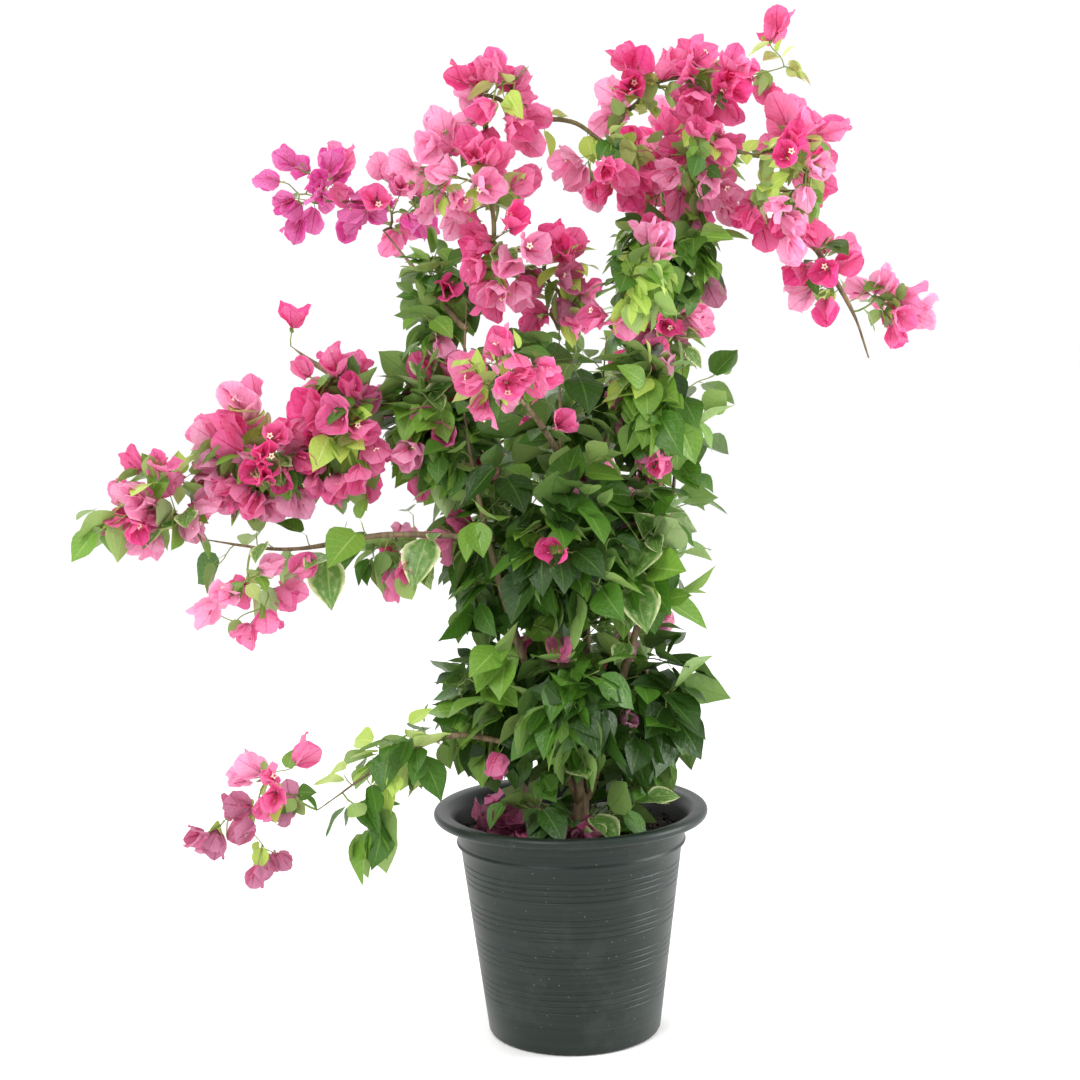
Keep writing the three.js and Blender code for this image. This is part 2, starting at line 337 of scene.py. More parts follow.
# %% [markdown]
# The colour is laid on in coats, as a painter would: pale patches, the margin, then the veins. The
# back of the blade has its own colour. The surface is a Principled shader, and a Translucent one mixed
# in gives the glow of a blade with light behind it.


# %% Blade material
# Repeats along one blade: mottling of 5 to 12 mm, and crinkles of 3 to 7 mm.
MOTTLE_REPEATS, CRINKLE_REPEATS = 5.0, 9.0


def blade_material(name, colour, vein, margin, back, roughness, glow, veins, margin_start, papery):
    """A blade's material. Papery says how patchy and how crinkled it is, from nought to one."""
    material, shader = new_material(name, colour, roughness)
    uv = add(material, "UVMap", {"uv_map": UV_MAP}).outputs[0]
    side, lines = vein_lines(material, uv, veins)
    blotches = {"Scale": MOTTLE_REPEATS, "Detail": 4.0}
    mottle = add(material, "TexNoise", blotches, Vector=uv).outputs["Fac"]
    edge_noise = add(material, "Math", {"operation": "MULTIPLY", 1: 0.22}, i0=mottle).outputs[0]
    edge_place = add(material, "Math", {"operation": "ADD"}, i0=side, i1=edge_noise).outputs[0]
    edge_band = {"From Min": 0.5 * margin_start + 0.11, "From Max": 0.61}
    edge = add(material, "MapRange", edge_band, Value=edge_place).outputs[0]
    patch_range = {"From Min": 0.5, "From Max": 0.68, "To Max": papery}
    patches = add(material, "MapRange", patch_range, Value=mottle).outputs[0]

    first_coat = {**RGBA, 6: linear(colour), 7: linear(margin)}
    patched = add(material, "Mix", first_coat, Factor=patches).outputs[2]
    edged = add(material, "Mix", {**RGBA, 7: linear(margin)}, Factor=edge, i6=patched).outputs[2]
    face = add(material, "Mix", {**RGBA, 7: linear(vein)}, Factor=lines, i6=edged).outputs[2]
    back_coat = {**RGBA, 6: linear(back), 7: linear(vein)}
    under = add(material, "Mix", back_coat, Factor=lines).outputs[2]
    turned = add(material, "NewGeometry").outputs["Backfacing"]
    both = add(material, "Mix", RGBA, Factor=turned, i6=face, i7=under).outputs[2]
    join(material, both, shader.inputs["Base Color"])

    creases = {"Scale": CRINKLE_REPEATS, "Detail": 3.0}
    crinkle = add(material, "TexNoise", creases, Vector=uv).outputs["Fac"]
    fold_depth = {"Strength": 0.3 + 0.6 * papery, "Distance": 0.0028}
    folds = add(material, "Bump", fold_depth, Height=crinkle).outputs[0]
    sunk_veins = {"Strength": 0.35, "Distance": 0.0006, "invert": True}
    bump = add(material, "Bump", sunk_veins, Height=lines, Normal=folds)
    join(material, bump.outputs[0], shader.inputs["Normal"])
    through = add(material, "BsdfTranslucent", Color=both)
    mixed = add(material, "MixShader", {0: glow}, i1=shader.outputs[0], i2=through.outputs[0])
    join(material, mixed.outputs[0], material.node_tree.nodes["Material Output"].inputs["Surface"])
    return material


print("blade material: two faces, veins, a margin and a glow")

# %% [markdown]
# A leaf is waxy, so it has a soft gloss, and little light comes through it. Its green depends on its
# age and on the light that it grew in, and one kind has an irregular cream margin.


# %% Leaf greens
def leaf_material(name, colour, vein, margin, back, margin_start=0.9, patchy=0.2):
    return blade_material(name, colour, vein, margin, back, 0.36, 0.22, 7, margin_start, patchy)


leaf_kinds = {
    # The deep green is partly the real colour of old leaves and partly painted shade, darkened so that
    # the inside of the bush looks shaded.
    "deep": leaf_material("leaf_old_green_and_painted_shade", "#294814", "#486c2b", "#233f10", "#587638"),
    "mid": leaf_material("leaf_mid_green", "#44701f", "#6b9240", "#3c661b", "#7b9a52"),
    "fresh": leaf_material("leaf_fresh_green", "#709a38", "#98bb5b", "#68932f", "#97b566"),
    "lime": leaf_material("leaf_young_lime", "#b3d05c", "#d3e48c", "#a8c84e", "#c3d982"),
    "edged": leaf_material("leaf_cream_edged", "#5b8638", "#8fae60", "#dfe4ac", "#9fb57c", 0.66, 0.35),
}
print("materials:", len(leaf_kinds), "leaf greens")

# %% [markdown]
# A bract is dry paper with a fine net of veins. It is duller than a leaf, paler towards its margin,
# and half of the light goes through it, which is why a bougainvillea seems to shine.


# %% Bract pinks
def bract_material(name, colour, vein, margin, back):
    return blade_material(name, colour, vein, margin, back, 0.48, 0.5, 6, 0.75, 0.8)


bract_kinds = {
    "deep": bract_material("bract_deep_pink", "#ef4f96", "#d63c80", "#f470a9", "#f276ac"),
    "rose": bract_material("bract_rose_pink", "#f672ae", "#e25a9a", "#f88fc0", "#f792bf"),
    "pale": bract_material("bract_pale_pink", "#fba0cb", "#ec82b5", "#fdc2dd", "#fcb4d6"),
    "magenta": bract_material("bract_magenta", "#e556ab", "#cb3f94", "#ee78bf", "#ec84c3"),
    # The dusky rose is partly the colour of faded bracts and partly painted shade that stands for pink
    # bracts in shade.
    "faded_and_shaded": bract_material("bract_faded_rose_and_painted_shade", "#c8698f", "#ab4f76", "#d681a0", "#cc85a4"),
    "fallen": bract_material("bract_fallen", "#8f4363", "#6f304c", "#a05874", "#9a5a74"),
}
print("materials:", len(bract_kinds), "bract pinks")

# %% [markdown]
# ## The pot
# A nursery pot is a thin tapered shell with a rolled rim, a plain band below it and groups of fine
# rings lower down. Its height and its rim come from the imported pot. The profile is a list of radii and
# heights that runs up the outside, round the rim and down the inside. Each ring is a shallow groove of
# four points, and a small step marks the foot of the plain band.

# %% Pot profile
pot_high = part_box("pot")[1]
POT_TOP = pot_high.z
RIM = pot_high.x
BASE = 0.095
NECK = 0.127
BAND_FOOT = POT_TOP - 0.038
WALL = 0.0026
RING_GROUPS = (0.195, 0.154, 0.113, 0.070)
RINGS_IN_GROUP = 4
RING_SPACING = 0.0068
RING_HALF = 0.0011
RING_FLOOR = 0.0004
RING_DEPTH = 0.00055
ROLL_WIDTH, ROLL_HEIGHT = 0.0048, 0.0054


def wall_radius(height):
    """Outer radius of the tapered wall at a height below the plain band."""
    share = (height - 0.004) / (BAND_FOOT - 0.007)
    return BASE + (NECK - 0.0055 - BASE) * share


def pot_profile():
    """The pot's outline as pairs of radius and height, from the base up, over and down inside."""
    outline = [(BASE - 0.0045, 0.0004), (BASE - 0.0015, 0.0016), (BASE, 0.004)]
    rings = sorted(top - RING_SPACING * k for top in RING_GROUPS for k in range(RINGS_IN_GROUP))
    for height in rings:
        outline.append((wall_radius(height - RING_HALF), height - RING_HALF))
        outline.append((wall_radius(height) - RING_DEPTH, height - RING_FLOOR))
        outline.append((wall_radius(height) - RING_DEPTH, height + RING_FLOOR))
        outline.append((wall_radius(height + RING_HALF), height + RING_HALF))
    outline.append((wall_radius(BAND_FOOT - 0.004), BAND_FOOT - 0.004))
    small_step = ((0.0042, -0.0012), (0.0016, -0.0004), (0.0012, 0.0010), (0.0026, 0.0034))
    outline += [(NECK - inset, BAND_FOOT + rise) for inset, rise in small_step]
    under_rim = POT_TOP - 0.0110
    swell = ((-0.0006, -0.004), (0.0012, -0.0006), (0.004, 0.0006))
    outline += [(NECK + out, under_rim + rise) for out, rise in swell]
    outline.append((RIM - 0.007, under_rim + 0.0004))
    roll = (RIM - ROLL_WIDTH, POT_TOP - 0.0058)
    for step in range(9):
        turn = math.radians(-80 + step * 21)
        outline.append((roll[0] + ROLL_WIDTH * math.cos(turn), roll[1] + ROLL_HEIGHT * math.sin(turn)))
    inner_lip = ((0.0125, 0.0012), (0.0165, 0.0028), (0.0205, 0.0072))
    outline += [(RIM - inset, POT_TOP - drop) for inset, drop in inner_lip]
    outline.append((NECK - WALL + 0.0006, POT_TOP - 0.0140))
    outline.append((NECK - WALL - 0.0028, BAND_FOOT))
    outline.append((wall_radius(BAND_FOOT - 0.006) - WALL, BAND_FOOT - 0.006))
    outline.append((BASE - WALL, 0.0030))
    return outline


print("pot profile:", len(pot_profile()), "points")

# %% [markdown]
# Spinning the profile would do, and so would a lathe. Here a disc is laid on the ground and its edge
# is extruded and scaled from ring to ring, as one would raise a pot on a wheel. The last edge is
# filled, which closes the floor inside.


# %% Raise the pot
def start_piece(name):
    """Names the fresh primitive, which is the active object."""
    piece = bpy.context.object
    piece.name = piece.data.name = name
    return piece


POT_SIDES = 144
FLOOR_RING = 0.012
radius, height = BASE - 0.006, 0.0
bpy.ops.object.select_all(action="DESELECT")
bpy.ops.mesh.primitive_circle_add(vertices=POT_SIDES, radius=radius, fill_type="NGON")
pot = start_piece("nursery_pot")
bpy.ops.object.mode_set(mode="EDIT")
bpy.ops.mesh.select_mode(type="EDGE")
bpy.ops.mesh.select_all(action="SELECT")
bpy.ops.mesh.inset(thickness=FLOOR_RING)
bpy.ops.mesh.select_all(action="SELECT")
bpy.ops.mesh.region_to_loop()
for next_radius, next_height in pot_profile():
    bpy.ops.mesh.extrude_edges_move(TRANSFORM_OT_translate={"value": (0, 0, next_height - height)})
    grow = next_radius / radius
    bpy.ops.transform.resize(value=(grow, grow, 1), center_override=(0, 0, 0))
    radius, height = next_radius, next_height
bpy.ops.mesh.edge_face_add()
bpy.ops.mesh.inset(thickness=FLOOR_RING)
bpy.ops.mesh.select_all(action="SELECT")
bpy.ops.mesh.normals_make_consistent(inside=False)
bpy.ops.object.mode_set(mode="OBJECT")
print("pot raised:", len(pot.data.polygons), "faces")

# %% [markdown]
# Water leaves through a ring of round holes in the floor. Six cylinders are joined into one cutter,
# and a Boolean modifier takes them out of the pot.

# %% Drain holes
HOLES, HOLE_RADIUS, HOLE_CIRCLE = 6, 0.0065, 0.062
cutters = []
for number in range(HOLES):
    turn = 2 * math.pi * (number + 0.5) / HOLES
    spot = (HOLE_CIRCLE * math.cos(turn), HOLE_CIRCLE * math.sin(turn), 0.001)
    bpy.ops.mesh.primitive_cylinder_add(vertices=20, radius=HOLE_RADIUS, depth=0.02, location=spot)
    cutters.append(bpy.context.object)
bpy.ops.object.select_all(action="DESELECT")
for cutter in cutters:
    cutter.select_set(True)
bpy.context.view_layer.objects.active = cutters[0]
bpy.ops.object.join()
cutter = bpy.context.object
drain = pot.modifiers.new("drain", "BOOLEAN")
drain.operation = "DIFFERENCE"
drain.object = cutter
bpy.ops.object.select_all(action="DESELECT")
pot.select_set(True)
bpy.context.view_layer.objects.active = pot
bpy.ops.object.modifier_apply(modifier="drain")
bpy.data.objects.remove(cutter)
bpy.ops.object.shade_smooth_by_angle(angle=math.radians(32))
pot.data.materials.append(pot_plastic)
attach(pot, "root")
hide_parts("pot")
print("pot:", len(pot.data.polygons), "faces, top at", round(POT_TOP, 3))

# %% [markdown]
# ## The soil
# The soil fills the pot to a finger's width below the rim. Its surface is crumbly and lies a little
# higher round the canes. A grid is bent into a disc, its border is pulled down along the wall and
# closed below, and two Displace modifiers roughen only the top.

# %% Soil block
soil_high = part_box("soil")[1]
SOIL_TOP = soil_high.z
SOIL_RADIUS = soil_high.x - 0.0006
SOIL_FOOT = 0.004
SUNK = 0.006
HEAP, HEAP_SPREAD = Vector((0.012, -0.02, 0)), 0.035
CLODS = 72
bpy.ops.object.select_all(action="DESELECT")
bpy.ops.mesh.primitive_grid_add(x_subdivisions=CLODS, y_subdivisions=CLODS, size=2)
soil = start_piece("potting_soil")
for vertex in soil.data.vertices:
    x, y = vertex.co.x, vertex.co.y
    flat = Vector((x * math.sqrt(1 - y * y / 2), y * math.sqrt(1 - x * x / 2), 0)) * SOIL_RADIUS
    rise = SUNK * math.exp(-((flat - HEAP).length / HEAP_SPREAD) ** 2)
    vertex.co = flat + Vector((0, 0, SOIL_TOP - SUNK + rise))
crumbly = soil.vertex_groups.new(name="crumbly")
for vertex in soil.data.vertices:
    reach = vertex.co.xy.length / SOIL_RADIUS
    crumbly.add([vertex.index], min(1, 8 * (1 - reach)), "REPLACE")
bpy.ops.object.mode_set(mode="EDIT")
bpy.ops.mesh.select_all(action="SELECT")
bpy.ops.mesh.region_to_loop()
floor_share = (BASE - WALL - 0.001) / SOIL_RADIUS
bpy.ops.mesh.extrude_edges_move(TRANSFORM_OT_translate={"value": (0, 0, SOIL_FOOT - SOIL_TOP + SUNK)})
bpy.ops.transform.resize(value=(floor_share, floor_share, 1), center_override=(0, 0, 0))
bpy.ops.mesh.edge_face_add()
bpy.ops.mesh.select_all(action="SELECT")
bpy.ops.mesh.normals_make_consistent(inside=False)
bpy.ops.object.mode_set(mode="OBJECT")
for label, size, strength in (("clods", 0.012, 0.007), ("crumbs", 0.004, 0.003)):
    pattern = bpy.data.textures.new(label, "CLOUDS")
    pattern.noise_scale = size
    lumps = soil.modifiers.new(label, "DISPLACE")
    lumps.texture = pattern
    lumps.strength = strength
    lumps.direction = "Z"
    lumps.texture_coords = "GLOBAL"
    lumps.vertex_group = "crumbly"
    bpy.ops.object.modifier_apply(modifier=label)
bpy.ops.object.shade_smooth()
soil.data.materials.append(peat)
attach(soil, "root")
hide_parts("soil")
print("soil: radius", round(SOIL_RADIUS, 3), "top", round(SOIL_TOP, 3))

# %% [markdown]
# ## Building from arrays
# A bush has thousands of blades and twigs. Making each with operators would take hours, so each small
# shape is drawn once as an array of points, and NumPy copies, turns and scales it all at once. Every
# kind ends as one joined mesh of its own. A mesh takes its points, the corners of all its faces in one
# row, and how many corners each face has.


# %% A piece from arrays
def make_piece(name, points, corners, face_sizes, material, slot, uv=None):
    """A smooth mesh from arrays: points, the corner numbers of all faces in a row, and their counts."""
    mesh = bpy.data.meshes.new(name)
    mesh.vertices.add(len(points))
    mesh.vertices.foreach_set("co", np.asarray(points, np.float32).ravel())
    mesh.loops.add(len(corners))
    mesh.loops.foreach_set("vertex_index", np.asarray(corners, np.int32))
    mesh.polygons.add(len(face_sizes))
    starts = np.concatenate([[0], np.cumsum(face_sizes)[:-1]])
    mesh.polygons.foreach_set("loop_start", starts.astype(np.int32))
    mesh.polygons.foreach_set("use_smooth", np.ones(len(face_sizes), bool))
    if uv is not None:
        layer = mesh.uv_layers.new(name=UV_MAP)
        layer.data.foreach_set("uv", np.asarray(uv, np.float32).ravel())
    mesh.update(calc_edges=True)
    mesh.validate()
    mesh.materials.append(material)
    piece = bpy.data.objects.new(name, mesh)
    bpy.context.scene.collection.objects.link(piece)
    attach(piece, "root")
    return piece


def triangles_in(piece):
    return sum(len(face.vertices) - 2 for face in piece.data.polygons)


print("the pot has", triangles_in(pot), "triangles and the soil", triangles_in(soil))

# %% [markdown]
# A small shape is copied by giving each copy a foot, the way it points, the way it faces and its
# size. Those make three axes, and one product turns every point of every copy into its place.


# %% Copies of a shape
def shape_of(points, faces, uv=None):
    """A small shape to copy: its points, its faces flattened into one row of corners, and their sizes."""
    corners = np.concatenate([np.asarray(face) for face in faces])
    return {
        "points": np.asarray(points, float),
        "corners": corners,
        "sizes": np.array([len(face) for face in faces]),
        "uv": None if uv is None else np.asarray(uv)[corners],
    }


def scatter(shape, bases, alongs, normals, sizes):
    """Copies of a shape. Its X lies across each blade, its Y along, and its Z out of the face."""
    alongs = unit(np.asarray(alongs))
    normals = np.asarray(normals)
    normals = unit(normals - alongs * (normals * alongs).sum(1, keepdims=True))
    axes = np.stack([np.cross(alongs, normals), alongs, normals], axis=1)
    sizes = np.asarray(sizes, float)
    if sizes.ndim == 1:
        sizes = np.repeat(sizes[:, None], 3, axis=1)
    local = shape["points"][None] * sizes[:, None]
    return np.einsum("npk,nkj->npj", local, axes) + np.asarray(bases)[:, None]


def join_copies(name, batches, material, slot):
    """One mesh from several batches of copies, each a pair (shape, points of all its copies)."""
    points, corners, sizes, uv, start = [], [], [], [], 0
    for shape, copies in batches:
        count, size = copies.shape[:2]
        points.append(copies.reshape(-1, 3))
        shift = start + size * np.arange(count)
        corners.append((shape["corners"][None] + shift[:, None]).ravel())
        sizes.append(np.tile(shape["sizes"], count))
        if shape["uv"] is not None:
            uv.append(np.tile(shape["uv"], (count, 1)))
        start += count * size
    joined_uv = np.concatenate(uv) if uv else None
    arrays = np.concatenate(points), np.concatenate(corners), np.concatenate(sizes)
    return make_piece(name, *arrays, material, slot, joined_uv)


one_face = shape_of([(0, 0, 0), (1, 0, 0), (0, 1, 0)], [(0, 1, 2)])
print("a copy stood on end:", scatter(one_face, [(0, 0, 0)], [UP], [(1, 0, 0)], [1.0]).tolist())

# %% [markdown]
# ## The canes
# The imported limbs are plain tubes, and each gives its own centre line. The distance from its foot is
# measured along its edges, as an ant would walk. That sorts the vertices into rings, and every ring
# gives one point of the line and one radius. The trunk stands upright, so its rings go by height.


# %% Centre lines
def walk(start, corners, neighbours):
    """The distance from one corner to all others along the edges (Dijkstra's rule)."""
    travelled = np.full(len(corners), np.inf)
    travelled[start] = 0
    open_ends = {start}
    while open_ends:
        here = min(open_ends, key=lambda corner: travelled[corner])
        open_ends.remove(here)
        for there in neighbours[here]:
            longer = travelled[here] + np.linalg.norm(corners[here] - corners[there])
            if longer < travelled[there]:
                travelled[there] = longer
                open_ends.add(there)
    return travelled


SAME_PLACE = 0.2 * MM
TRUNK_RING_GAP, CANE_RING_GAP = 3 * MM, 18 * MM


def centre_line(name, tree_points):
    """The centre points and radii of a limb, from the end that lies nearest to tree_points."""
    node = nodes[name]
    placed = np.array([node.matrix_world @ vertex.co for vertex in node.data.vertices])
    grid = np.round(placed / SAME_PLACE).astype(int)
    _, first, same = np.unique(grid, axis=0, return_index=True, return_inverse=True)
    same = same.ravel()
    corners = placed[first]
    if name == "trunk":
        travelled, ring_gap = corners[:, 2], TRUNK_RING_GAP
    else:
        neighbours = [set() for _ in corners]
        for edge in node.data.edges:
            a, b = same[edge.vertices[0]], same[edge.vertices[1]]
            neighbours[a].add(b)
            neighbours[b].add(a)
        one_end = int(np.argmax(walk(0, corners, neighbours)))
        travelled = walk(one_end, corners, neighbours)
        other_end = int(np.argmax(travelled))
        gaps = [np.linalg.norm(tree_points - corners[end], axis=1).min() for end in (one_end, other_end)]
        if gaps[1] < gaps[0]:
            travelled = walk(other_end, corners, neighbours)
        ring_gap = CANE_RING_GAP
    order = np.argsort(travelled)
    cuts = np.where(np.diff(travelled[order]) > ring_gap)[0] + 1
    rings = [corners[ring] for ring in np.split(order, cuts)]
    centres = np.array([ring.mean(0) for ring in rings])
    radii = np.array([np.linalg.norm(ring - ring.mean(0), axis=1).mean() for ring in rings])
    return centres, radii


print("trunk: radius at each ring", centre_line("trunk", np.zeros((1, 3)))[1].round(3))

# %% [markdown]
# Between the rings a cane runs in a smooth bend. A Catmull-Rom curve goes through every ring's centre,
# so it needs no handles, and the radius is read off along it.


# %% Smooth canes
def smooth_line(points, values, step):
    """A Catmull-Rom curve through points, about one sample every step, and the values along it."""
    padded = np.concatenate([[2 * points[0] - points[1]], points, [2 * points[-1] - points[-2]]])
    line, along = [], []
    for number in range(len(points) - 1):
        a, b, c, d = padded[number : number + 4]
        count = max(2, int(np.linalg.norm(c - b) / step))
        for t in np.arange(count) / count:
            curve = 2 * b + (c - a) * t + (2 * a - 5 * b + 4 * c - d) * t**2
            line.append(0.5 * (curve + (3 * b - a - 3 * c + d) * t**3))
            along.append(number + t)
    line.append(points[-1])
    along.append(len(points) - 1)
    return np.array(line), np.interp(along, np.arange(len(values)), values)


corner_line, _ = smooth_line(np.array([[0, 0, 0], [1, 0, 0], [1, 1, 0.0]]), np.ones(3), 0.5)
print("a corner of three points becomes a bend of", len(corner_line))

# %% [markdown]
# The skeleton is one list of points. Each knows its parent, which way its cane runs there and which
# run of points it belongs to, so a new twig can leave any point in a natural direction.

# %% The skeleton
MOST_SPOTS = 60000
spots = np.zeros((MOST_SPOTS, 3))
headings = np.zeros((MOST_SPOTS, 3))
parents = np.full(MOST_SPOTS, -1)
runs = []
spot_count = 0


def add_run(line, parent, owner):
    """Adds a cane's points to the skeleton, each the child of the one before it."""
    global spot_count
    first = spot_count
    for number, point in enumerate(line):
        spots[spot_count] = point
        parents[spot_count] = parent if number == 0 else spot_count - 1
        spot_count += 1
    from_point = line[0] if parent < 0 else spots[parent]
    steps = np.diff(np.concatenate([[from_point], line]), axis=0)
    if parent < 0:
        steps[0] = steps[1]
    headings[first:spot_count] = unit(steps)
    runs.append({"owner": owner, "parent": parent, "first": first, "last": spot_count - 1})
    return spot_count - 1


def nearest_spot(point):
    return int(np.argmin(np.linalg.norm(spots[:spot_count] - point, axis=1)))


def gap_to_tree(point):
    return np.linalg.norm(spots[:spot_count] - point, axis=1).min()


print("room for", MOST_SPOTS, "points of the skeleton")

# %% [markdown]
# The trunk comes first. Every other packed limb then joins the nearest point of the skeleton, but
# only once its foot is close to it. Some limbs spring from twigs that have yet to grow, so they wait.

# %% Place the canes
LIMB_STEP = 6 * MM
NEAR = 45 * MM
limb_lines = {}
limb_numbers = set()


def place_limb(name):
    """Adds a packed limb's centre line to the skeleton, joined to the nearest point there is."""
    centres, radii = centre_line(name, spots[: max(1, spot_count)])
    parent = -1 if name == "trunk" else nearest_spot(centres[0])
    if parent >= 0:
        centres = np.concatenate([[spots[parent]], centres])
        radii = np.concatenate([[radii[0]], radii])
    line, thick = smooth_line(centres, radii, LIMB_STEP)
    first = spot_count
    add_run(line[0 if parent < 0 else 1 :], parent, name)
    limb_numbers.update(range(first, spot_count))
    limb_lines[name] = (line, thick)


def limb_gap(name):
    """How far the foot of a packed limb still is from the skeleton."""
    return gap_to_tree(centre_line(name, spots[:spot_count])[0][0])


place_limb("trunk")
far_limbs = [name for name in limbs if name != "trunk"]


def place_near_limbs():
    """Places every waiting limb whose foot is close to the skeleton, the closest first."""
    while far_limbs:
        gap, name = min((limb_gap(name), name) for name in far_limbs)
        if gap > NEAR:
            return
        far_limbs.remove(name)
        place_limb(name)


place_near_limbs()
print("skeleton:", len(limb_lines), "canes,", spot_count, "points; later:", far_limbs)

# %% [markdown]
# ## Where the sprays go
# Every mass of foliage says where there is plenty of growth and where there is open sky. Spray tips
# are spread through it evenly: of many random points inside, the next tip is always the one farthest
# from those already chosen. A tip keeps a leaf's length clear of the skin, as its blades reach out.


# %% Tips inside a mass
def solid_tree(name):
    """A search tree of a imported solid's faces, for the nearest point of its skin."""
    node = nodes[name]
    corners = [node.matrix_world @ vertex.co for vertex in node.data.vertices]
    return BVHTree.FromPolygons(corners, [tuple(face.vertices) for face in node.data.polygons])


def solid_volume(name):
    """The volume of a closed solid, as a sum of thin pyramids that all meet at the origin."""
    node = nodes[name]
    corners = np.array([node.matrix_world @ vertex.co for vertex in node.data.vertices])
    total = 0.0
    for face in node.data.polygons:
        fan = [corners[index] for index in face.vertices]
        for second, third in zip(fan[1:], fan[2:]):
            total += np.dot(fan[0], np.cross(second, third)) / 6
    return abs(total)


def depth_in(tree, point):
    """How far inside the solid a point is. Outside it is negative."""
    surface, normal, _, distance = tree.find_nearest(Vector(point))
    return distance if (Vector(point) - surface).dot(normal) < 0 else -distance


def spread_tips(name, count, margin):
    """Evenly spread points inside a mass, at least a margin below its skin where there is room."""
    low, high = (np.array(corner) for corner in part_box(name))
    tree = solid_tree(name)
    pool = low + (high - low) * chance.random((60 * count + 120, 3))
    depths = np.array([depth_in(tree, point) for point in pool])
    keep = depths > min(margin, 0.55 * depths.max())
    pool, depths = pool[keep], depths[keep]
    tips = [pool[np.argmax(depths)]] if count < 3 else [pool[chance.integers(len(pool))]]
    gaps = np.linalg.norm(pool - tips[0], axis=1)
    while len(tips) < min(count, len(pool)):
        chosen = int(np.argmax(gaps))
        tips.append(pool[chosen])
        gaps = np.minimum(gaps, np.linalg.norm(pool - pool[chosen], axis=1))
    return np.array(tips)


print("masses: together", round(1000 * sum(solid_volume(name) for name in masses), 1), "litres")

# %% [markdown]
# Each part of the bush has its own habit. The table says how much room one spray takes, what share of
# the sprays flower, and how many leaves and side flowers a spray has and how long its leaves are. The
# inside of the bush is nearly all leaf, the dome and the arms are nearly all flower, and the right
# side of the dome has pushed new lime shoots. The first row whose name fits is the one that holds.

# %% Habits
HABITS = (
    # mass, (mm3 for each spray, share in flower, leaves, leaf length in mm, side flowers)
    ("leaves_low", (58000, 0.08, (4, 8), (26, 60), (0, 1))),
    ("leaves_mid_left", (56000, 0.16, (4, 8), (26, 58), (0, 1))),
    ("leaves_mid", (58000, 0.14, (4, 8), (26, 60), (0, 1))),
    ("leaves_high_left", (30000, 0.24, (5, 9), (24, 48), (0, 2))),
    ("leaves_high", (33000, 0.26, (5, 9), (26, 54), (0, 2))),
    ("leaves_dome", (34000, 0.07, (5, 9), (18, 40), (0, 1))),
    ("leaves_left_top", (36000, 0.10, (5, 8), (22, 42), (0, 1))),
    ("leaves_arm_mid_root", (40000, 0.32, (3, 6), (28, 52), (0, 2))),
    ("leaves_", (36000, 0.12, (4, 7), (28, 50), (0, 1))),
    ("bloom_dome_front", (36000, 0.34, (3, 7), (20, 38), (0, 2))),
    ("bloom_dome_right", (48000, 0.62, (3, 7), (14, 28), (0, 3))),
    ("bloom_dome", (46000, 0.64, (3, 7), (14, 30), (1, 3))),
    ("bloom_top", (38000, 0.64, (2, 5), (16, 32), (0, 4))),
    ("bloom_arm_mid_hanging", (62000, 0.85, (1, 4), (18, 34), (0, 2))),
    ("bloom_arm_mid", (42000, 0.88, (3, 6), (22, 44), (0, 3))),
    ("bloom_arm_low", (54000, 0.88, (2, 4), (14, 30), (0, 3))),
    ("bloom_arm_high", (52000, 0.88, (1, 3), (12, 24), (0, 3))),
    ("bloom_droop", (36000, 0.85, (3, 6), (14, 30), (0, 2))),
    ("bloom_lone", (90000, 1.00, (1, 2), (12, 20), (0, 1))),
    ("bloom_front", (40000, 0.78, (3, 5), (20, 36), (0, 3))),
    ("bloom_", (40000, 0.55, (3, 6), (22, 42), (0, 2))),
    ("spur_trunk", (0, 0, (3, 5), (28, 50), (0, 1))),
    ("spur_stem", (0, 0, (3, 6), (24, 56), (0, 1))),
    ("spur_bough_mid", (0, 0, (1, 4), (28, 56), (0, 1))),
    ("spur_bough_low", (0, 0, (2, 4), (20, 48), (0, 1))),
    ("spur_", (0, 0, (2, 5), (16, 40), (0, 1))),
)


def habit_of(name):
    return next(habit for prefix, habit in HABITS if name.startswith(prefix))


print("habits:", len(HABITS), "and that of bloom_gap is", habit_of("bloom_gap"))

# %% [markdown]
# ## Growing the twigs
# A twig is a Bezier curve from a living point to its goal. It starts partly in its parent's direction,
# so that the twigs fork forwards, and two sine waves bend it a little. It leans upwards as it leaves.

# %% Twig growth
TWIG_STEP = 7 * MM


def perpendicular(direction, angle):
    """A way at right angles to a direction, turned round it by an angle."""
    side = unit(np.cross(direction, [0.3, 0.2, 0.93]))
    return math.cos(angle) * side + math.sin(angle) * np.cross(direction, side)


def grow_twig(parent, goal, end_direction):
    """Adds a twig from a point of the skeleton to a goal, and gives the number of its tip."""
    start = spots[parent]
    span = np.linalg.norm(goal - start)
    ahead = unit(goal - start)
    lead = unit(0.55 * headings[parent] + ahead + 0.15 * UP)
    handle_a = start + lead * span * 0.4
    handle_b = goal - unit(end_direction) * span * 0.33
    t = np.linspace(0, 1, max(3, round(span * 1.1 / TWIG_STEP)) + 1)[1:, None]
    line = (1 - t) ** 3 * start + 3 * t * (1 - t) ** 2 * handle_a
    line = line + 3 * t**2 * (1 - t) * handle_b + t**3 * goal
    bend = jitter(0.022 * span) * np.sin(np.pi * t) + jitter(0.012 * span) * np.sin(3 * np.pi * t)
    return add_run(line + bend, parent, "twig")


print("twigs have a point every", round(TWIG_STEP / MM), "mm")

# %% [markdown]
# Masses close to a cane grow first. If no cane runs into a mass yet, a carrier twig grows to its
# middle. Each tip is then reached from the nearest living point, the nearest tips first, and carries
# a spray: the twig with the leaves and flowers that it will bear.

# %% Fill the masses
BLOOM_MARGIN, LEAF_MARGIN = 15 * MM, 20 * MM
SHORTEST_TWIG = 12 * MM
sprays = []


def middle_of(name):
    return np.array(sum(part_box(name), Vector())) / 2


